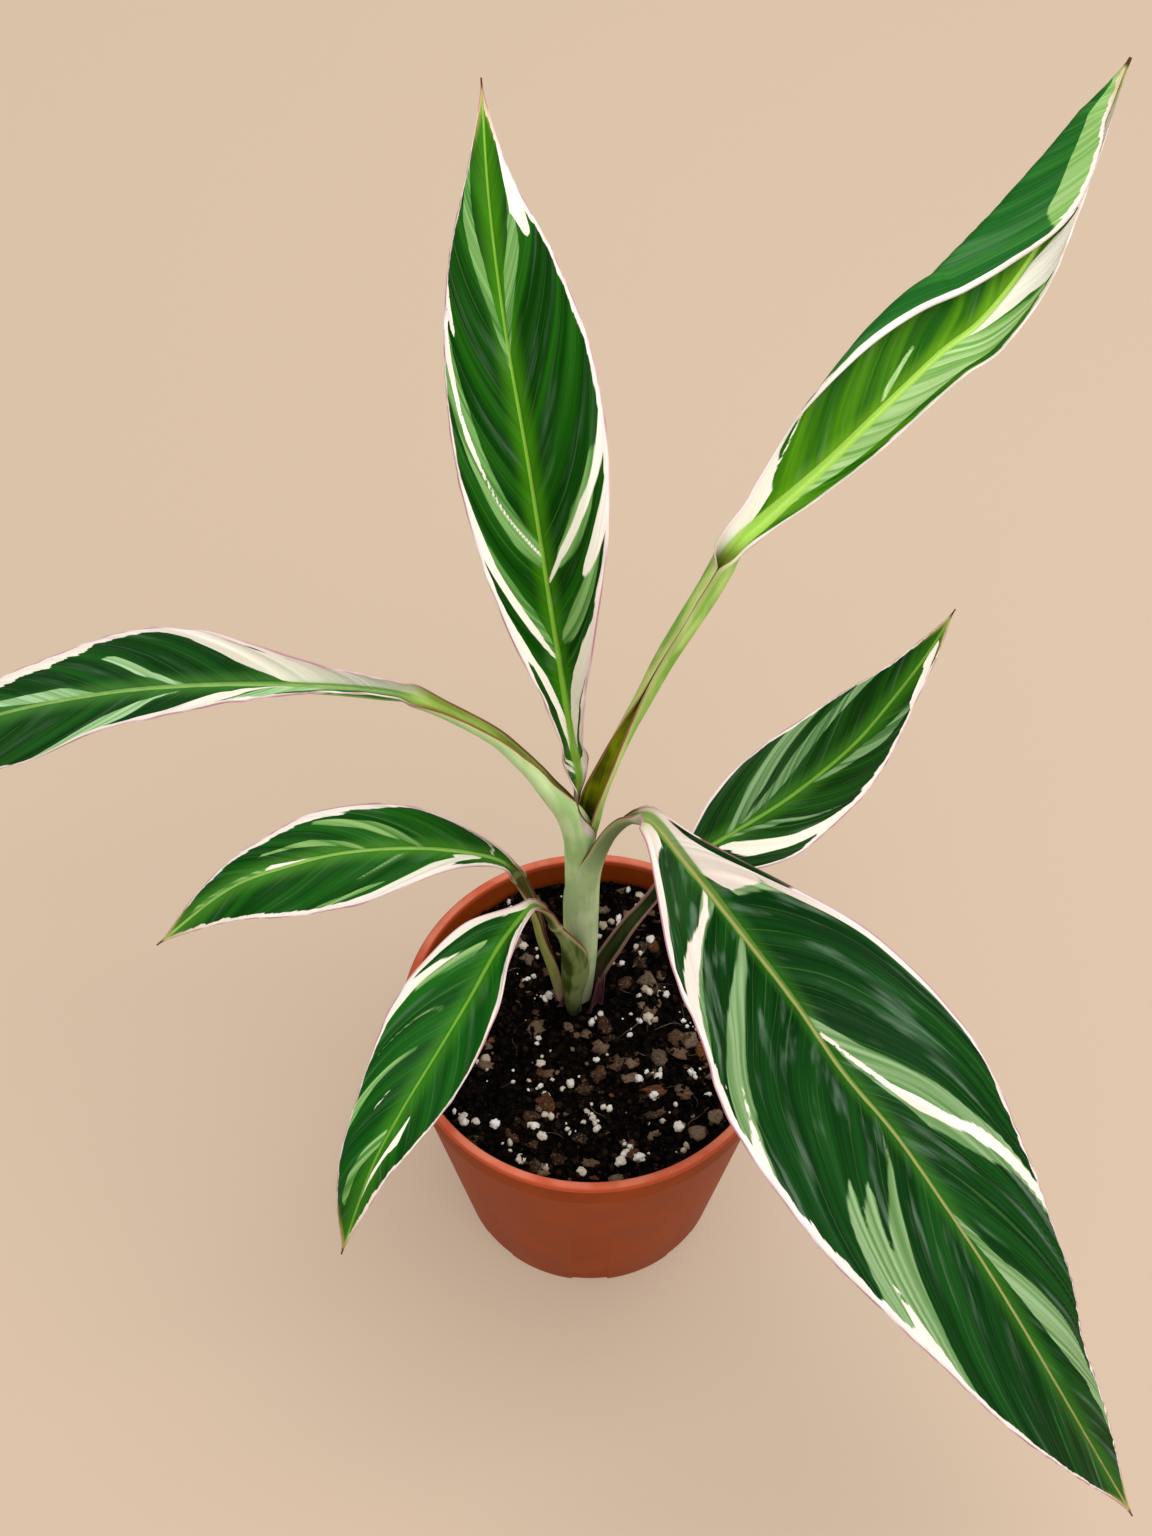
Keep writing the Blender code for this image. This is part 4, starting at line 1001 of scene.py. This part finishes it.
def leaf_sheet(name, leaf, top_mat, under_mat, seed):
    """The leaf's upper skin with its marks as attributes, thickened downwards."""
    blade_foot = Vector(leaf["blade"][0])
    route, near, length = smooth_route([Vector(p) for p in leaf["stalk"] + leaf["blade"]],
                                       ROW_STEP)
    rows = len(route) - 1
    foot = length * min(range(rows + 1), key=lambda row: (route[row] - blade_foot).length) / rows
    stalk_points = len(leaf["stalk"])
    opens = 1 - OPENING / stalk_points
    facing = [Vector(f) for f in leaf["facing"]]
    walls = [stop[3] for stop in leaf["sheath"]]
    rng = random.Random(seed)
    ripples = [(rng.uniform(0.75, 1.25) * size, rng.uniform(0.85, 1.15) * wave,
                rng.random() * math.tau) for size, wave in RIPPLES]
    waves = [(rng.uniform(0.7, 1.3) * size, rng.uniform(0.8, 1.2) * wave,
              rng.random() * math.tau) for size, wave in WAVES]

    bm, grid, thickness, marks, veins = blank_sheet(rows)
    vein_at = {}
    for row in range(rows + 1):
        here = length * row / rows
        t = min((here - foot) / (length - foot), 1.0)       # share of the blade, below 0 before
        before = min(near[row] / stalk_points, 1.0)         # share of the stalk
        ahead = (route[min(row + 1, rows)] - route[max(row - 1, 0)]).normalized()
        look = facing[-2].lerp(facing[-1], max(t, 0))
        if t < 0:
            look = Vector([along(values, before) for values in zip(*facing[:-1])])
        normal = (look - ahead * look.dot(ahead)).normalized()
        right = ahead.cross(normal)
        opening = ease((before - opens) / (1 - opens))
        in_blade = ease(t * 12 + 0.5)
        knee = math.exp(-((near[row] - leaf.get("knee", -9)) / KNEE_LENGTH) ** 2)
        rib = along(leaf["ribs"], t)
        for side, sign in (("left", -1), ("right", 1)):
            width, fold, curl = half_shape(leaf, side, t, before, opening)
            lean = along(leaf.get("lean_" + side, VEIN_LEAN), t)
            taper = min(1.0, width / FULL_WIDTH)
            rolled = side == "left" and "roll_at" in leaf and t > 0
            roll_at = along(leaf["roll_at"], t) if rolled else 0
            roll_by = along(leaf["roll_by"], t) if rolled else 0
            for column, reach, out, height, angle in half_section(width, fold, curl, roll_at,
                                                                  roll_by):
                if column == 0 and sign > 0:
                    continue
                x = width * reach
                vein = (here - foot) - width * (lean * reach + VEIN_SWEEP * reach ** 4)
                lift = swell(ripples, vein) * x / (x + RIPPLE_START)
                lift += swell(waves, here, sign) * reach ** 2.2
                lift *= leaf.get("ripple", 1)
                lift -= GROOVE * math.exp(-(x / (0.8 * rib)) ** 2)
                lift *= in_blade * taper
                place = route[row] + right * sign * (out - math.sin(angle) * lift)
                place += normal * (height + math.cos(angle) * lift)
                keel = KEEL + FOOT_KEEL * (1 - max(t, 0)) ** 1.3
                keel *= math.exp(-(x / (1.3 * rib)) ** 2)
                blade_thick = (BLADE_THICKNESS + keel) * min(1, 0.4 + taper)
                stalk_thick = STALK_MARGIN + 0.5 * knee
                stalk_thick += (along(walls, before) - STALK_MARGIN) * (1 - reach ** 2)
                thick = stalk_thick + in_blade * (blade_thick - stalk_thick)

                vert = grid[row, sign * column]
                vert.co = place * MM
                vert[thickness][0] = thick / SOLID_THICKNESS
                vein_at[vert.index] = (vein / VEINS_UNIT, sign * x / VEINS_UNIT)
                for key in ("cream", "pale", "green"):
                    streaks = leaf.get(key + "_" + side, ())
                    vert[marks[key]] = streak_depth(streaks, vein, reach)
                vert[marks["rim"]] = along(leaf["rim_" + side], t)
                vert[marks["edge"]] = width - x
                vert[marks["rib"]] = x / rib
                vert[marks["tip"]] = length - here
                vert[marks["stalk"]] = 1 - ease((t - leaf.get("stalk_end", 0)) * 14 + 0.6)
                vert[marks["blush"]] = max(0.0, 1 - (place.z - FOOT_TINT_LOW) / FOOT_TINT_HEIGHT)
                vert[marks["knee"]] = knee
                vert[marks["before"]] = before
                vert[marks["dyed"]] = 1 - ease((near[row] - leaf.get("dyed_to", 99)) / DYE_FADE)
    for face in bm.faces:
        for loop in face.loops:
            loop[veins].uv = vein_at[loop.vert.index]
    piece = piece_from(name, bm, top_mat, under_mat)
    piece.vertex_groups.new(name="thickness")
    shell = piece.modifiers.new("thickness", "SOLIDIFY")
    shell.thickness = SOLID_THICKNESS * MM
    shell.offset = -1.0
    shell.vertex_group = "thickness"
    shell.material_offset = 1
    shell.material_offset_rim = 0
    return piece


SIDE_VEINS = 20                    # in one unit of the veins map
LEAF_BACK = (paint(34, 88, 36), paint(58, 112, 52))
LEAF_HEM = paint(176, 104, 122)
LEAF_CREAM = (paint(252, 246, 230), paint(245, 239, 218))
# Noise mixes each pair of colours. torn is how ragged the streaks are, gloss the specular level,
# and the one number more, where given, how strong the pale patches of painted sheen are.
# glow lies along the midrib, hem is the blushed margin.
# On the stalk, channel is the inner side and stalk the outer one, the petiole entry a darker upper
# stretch of the outer side that is painted shade under its arch, foot its lower end, and margin
# the dye.
LEAF_HUES = {
    "leaf_upright": dict(
        green=(paint(2, 52, 0), paint(26, 92, 6)), glow=paint(76, 148, 12),
        sage=(paint(58, 118, 40), paint(134, 178, 104)), gloss=0.05, rib=paint(138, 186, 66),
        stalk=(paint(206, 190, 188), paint(236, 224, 222)),
        channel=(paint(92, 120, 40), paint(140, 160, 70)), foot=paint(170, 180, 140),
        margin=paint(96, 84, 40)),
    "leaf_young": dict(
        green=(paint(24, 88, 4), paint(84, 144, 10)), glow=paint(122, 172, 30),
        sage=(paint(116, 168, 80), paint(188, 218, 150)), torn=0.4, gloss=0.06,
        rib=paint(176, 214, 96), hem=paint(206, 196, 176),
        back=(paint(20, 88, 26), paint(70, 144, 58)),
        stalk=(paint(132, 176, 72), paint(184, 212, 116)),
        channel=(paint(84, 86, 10), paint(152, 168, 14)), foot=paint(150, 160, 100),
        margin=paint(142, 90, 62)),
    "leaf_left": dict(
        green=(paint(10, 56, 14), paint(26, 90, 22)), glow=paint(84, 146, 60),
        sage=(paint(132, 180, 114), paint(186, 220, 170)), gloss=0.08, rib=paint(152, 192, 104),
        stalk=(paint(168, 204, 134), paint(200, 228, 166)),
        channel=(paint(122, 146, 40), paint(158, 182, 84)), foot=paint(160, 170, 120),
        margin=paint(126, 88, 44)),
    "leaf_large": dict(
        green=(paint(3, 44, 7), paint(16, 68, 18)), glow=paint(56, 116, 26),
        sage=(paint(90, 128, 70), paint(144, 172, 124)),
        cream=(paint(246, 232, 222), paint(230, 210, 196)), painted_sheen=0.3, gloss=0.05,
        rib=paint(104, 142, 58), groove=paint(162, 150, 96),
        stalk=(paint(174, 204, 146), paint(204, 224, 176)),
        channel=(paint(112, 140, 52), paint(142, 166, 82)), petiole_shade=paint(78, 100, 52),
        foot=paint(178, 176, 140), margin=paint(126, 58, 50)),
    "leaf_right": dict(
        green=(paint(3, 44, 0), paint(22, 74, 6)), glow=paint(66, 128, 22),
        sage=(paint(60, 104, 50), paint(132, 164, 112)), gloss=0.08, rib=paint(122, 168, 62),
        stalk=(paint(52, 66, 26), paint(84, 96, 46)),
        channel=(paint(26, 34, 12), paint(48, 58, 26)), foot=paint(96, 66, 56),
        margin=paint(150, 96, 104)),
    "leaf_lower_left": dict(
        green=(paint(6, 62, 6), paint(26, 98, 14)), glow=paint(88, 156, 46),
        sage=(paint(74, 136, 52), paint(148, 188, 112)), gloss=0.08, rib=paint(156, 198, 96),
        stalk=(paint(122, 134, 56), paint(156, 166, 84)),
        channel=(paint(82, 84, 32), paint(110, 108, 50)), foot=paint(168, 132, 124),
        margin=paint(110, 50, 40)),
    "leaf_front": dict(
        green=(paint(5, 62, 7), paint(18, 94, 12)), glow=paint(66, 138, 26),
        sage=(paint(76, 136, 54), paint(154, 192, 122)), gloss=0.08, rib=paint(118, 170, 56),
        stalk=(paint(54, 72, 16), paint(130, 146, 90)),
        # leaf_front's foot colour is nearly black: painted shadow at the base of its stalk.
        channel=(paint(92, 96, 40), paint(120, 124, 60)), foot=paint(34, 36, 12),
        margin=paint(116, 44, 40)),
}


def vein_grain(veins, along_rib):
    """Noise drawn out along the side veins, from broad drifts to fibres, and the veins."""
    wander = calc("MULTIPLY", cloud(veins, (7, 1.0, 1), 5.9, 1.0), 4.0)
    gap = calc("PINGPONG", calc("MULTIPLY_ADD", along_rib, SIDE_VEINS, wander), 0.5)
    broken = span(cloud(veins, (30, 5, 1), 2.2, 1.0), 0.35, 0.6)
    streaky = cloud(veins, (40, 2.4, 1), 7.7)
    return {"gap": gap, "line": calc("MULTIPLY", span(gap, 0.06, 0.015), broken),
            "broad": cloud(veins, (9, 2.0, 1), 3.1, 2.0), "streaky": streaky,
            "sway": calc("SUBTRACT", streaky, 0.5), "fine": cloud(veins, (150, 5, 1), 1.3, 2.0)}


def streak_masks(tree, grain, edge, raggedness):
    """Where the leaf is cream and where it is sage, both torn along the side veins."""
    sway = grain["sway"]
    flicker = calc("SUBTRACT", grain["fine"], 0.5)
    drift = calc("SUBTRACT", grain["broad"], 0.5)
    torn = calc("MULTIPLY_ADD", sway, 2.2, calc("MULTIPLY", flicker, 0.9))
    torn = calc("MULTIPLY", calc("MULTIPLY_ADD", drift, 4.0, torn), raggedness)
    uneven = calc("MULTIPLY_ADD", drift, 1.6, calc("MULTIPLY_ADD", sway, 0.8, 1.0))
    rim = calc("MULTIPLY_ADD", flicker, 0.2, calc("MULTIPLY", mark(tree, "rim"), uneven))
    creamy = calc("MAXIMUM", span(calc("ADD", mark(tree, "cream"), torn), -0.35, 0.35),
                  span(calc("SUBTRACT", rim, edge), -0.12, 0.12))
    return creamy, span(calc("ADD", mark(tree, "pale"), torn), -0.6, 0.6)


def blade_paint(tree, hues, greens, stripes, veins, grain, edge, from_rib):
    """Green that glows along the midrib, then sage, then cream. stripes is their contrast."""
    broad, streaky, line = grain["broad"], grain["streaky"], grain["line"]
    # Between the side veins the greens are lighter midway and darker beside each vein: painted
    # shade of the quilted blade.
    shade = calc("MULTIPLY_ADD", grain["gap"], 0.5 * stripes,
                 calc("MULTIPLY", grain["sway"], 0.5 * stripes))
    shade = calc("ADD", span(broad, 0.34, 0.7, 0.7 * stripes), shade)
    green = tint(span(shade, 0.0, 1.0), *greens)
    green = tint(span(grain["fine"], 0.5, 0.85, 0.1), green, paint(96, 150, 60))
    green = tint(calc("MULTIPLY", line, 0.15), green, paint(120, 170, 84))
    # Pale patches of painted sheen over the greens.
    sheen_patches = span(cloud(veins, (16, 9, 1), 6.3, 2.0), 0.52, 0.8, hues.get("painted_sheen", 0.14))
    green = tint(sheen_patches, green, paint(150, 178, 152))
    green = tint(span(from_rib, 5.0, 0.4, 0.5), green, hues["glow"])
    sage = tint(span(streaky, 0.32, 0.68, stripes), *hues["sage"])
    sage = tint(calc("MULTIPLY", line, 0.2), sage, hues["sage"][1])
    cream = tint(span(broad, 0.3, 0.75), *hues.get("cream", LEAF_CREAM))
    cream = tint(span(edge, 2.6, 0.4, 0.65), cream, paint(250, 228, 226))
    cream = tint(span(cloud(veins, (60, 3, 1), 9.1), 0.62, 0.8, 0.5), cream, paint(205, 214, 170))
    creamy, sagey = streak_masks(tree, grain, edge, hues.get("torn", 1.0))
    color = tint(creamy, tint(sagey, green, sage), cream)
    return tint(span(mark(tree, "green"), -0.25, 0.25), color, green)


def stalk_paint(tree, hues, under, veins, strand, edge):
    """Fibrous green with a foot colour low down (painted shadow on leaf_front), a darker upper
    stretch painted as shade where given, pale margins, and dyed ones low down.
    """
    bloom = cloud(veins, (7, 12, 1), 8.8, 2.0)
    color = tint(span(calc("MULTIPLY_ADD", strand, 0.5, bloom), 0.6, 0.9),
                 *hues["stalk" if under else "channel"])
    # A darker upper stretch of the outer side: painted shade under the arch of the petiole.
    if under and "petiole_shade" in hues:
        color = tint(span(mark(tree, "before"), 0.4, 0.62, 0.8), color, hues["petiole_shade"])
    # The foot colour low on each stalk; on leaf_front it is painted shadow.
    color = tint(span(mark(tree, "blush"), 0.1, 0.9, 0.85), color, hues["foot"])
    color = tint(span(edge, 1.5, 0.7, 0.45), color, paint(206, 190, 140))
    dyed = calc("MULTIPLY", mark(tree, "dyed"),
                span(calc("MULTIPLY_ADD", bloom, 0.5, edge), 0.75, 0.5, 0.95))
    color = tint(dyed, color, hues["margin"])
    return tint(span(mark(tree, "knee"), 0.3, 0.8, 0.5), color, paint(170, 176, 126))


def leaf_skin(name, hues, under):
    """The upper or the under side of one leaf, with its stalk: colours, sheen and fine ribs."""
    greens = hues.get("back", LEAF_BACK) if under else hues["green"]
    mat, tree, shader = plain_material(name, greens[0], 0.36)
    shader.inputs["Specular IOR Level"].default_value = hues["gloss"]
    uv = tree.nodes.new("ShaderNodeUVMap")
    uv.uv_map = "veins"
    veins = uv.outputs[0]
    place = tree.nodes.new("ShaderNodeSeparateXYZ")
    tree.links.new(veins, place.inputs[0])
    from_rib = calc("MULTIPLY", calc("ABSOLUTE", place.outputs[1]), VEINS_UNIT)
    edge, tip = mark(tree, "edge"), mark(tree, "tip")
    grain = vein_grain(veins, place.outputs[0])
    strand = cloud(veins, (3, 70, 1), 4.4, 3.0)

    color = blade_paint(tree, hues, greens, 0.5 if under else 1.0, veins, grain, edge, from_rib)
    color = tint(span(mark(tree, "rib"), 1.1, 0.75, 0.9), color, hues["rib"])
    if "groove" in hues:
        color = tint(span(from_rib, 0.42, 0.24, 0.8), color, hues["groove"])
    old = calc("MULTIPLY", span(tip, 22, 6), span(edge, 1.6, 0.5, 0.7))
    color = tint(old, color, paint(176, 160, 84))
    blush = calc("MULTIPLY", span(edge, 0.42, 0.18, 0.8), span(grain["broad"], 0.3, 0.6))
    color = tint(blush, color, hues.get("hem", LEAF_HEM))
    color = tint(span(tip, 3.6, 1.6), color, paint(92, 58, 34))
    stalk = stalk_paint(tree, hues, under, veins, strand, edge)
    color = tint(mark(tree, "stalk"), color, stalk)
    tree.links.new(color, shader.inputs["Base Color"])
    tree.links.new(calc("MULTIPLY_ADD", grain["broad"], 0.25, 0.45 if under else 0.24),
                   shader.inputs["Roughness"])

    ridges = calc("MULTIPLY_ADD", grain["fine"], 0.3, grain["streaky"])
    ridges = calc("MULTIPLY_ADD", grain["gap"], 0.8, ridges)
    on_blade = calc("SUBTRACT", 1.0, mark(tree, "stalk"))
    fibres = calc("MULTIPLY", strand, calc("SUBTRACT", 0.8, on_blade))
    rough_bump(shader, calc("MULTIPLY_ADD", ridges, on_blade, fibres), 0.4, 0.35)
    return mat


for seed, (name, leaf) in enumerate(LEAVES.items(), 1):
    hues = LEAF_HUES[name]
    leaf_piece = leaf_sheet("skin_" + name, leaf, leaf_skin(name + "_top", hues, False),
                            leaf_skin(name + "_back", hues, True), seed)
    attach(leaf_piece, "root")
    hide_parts(name)
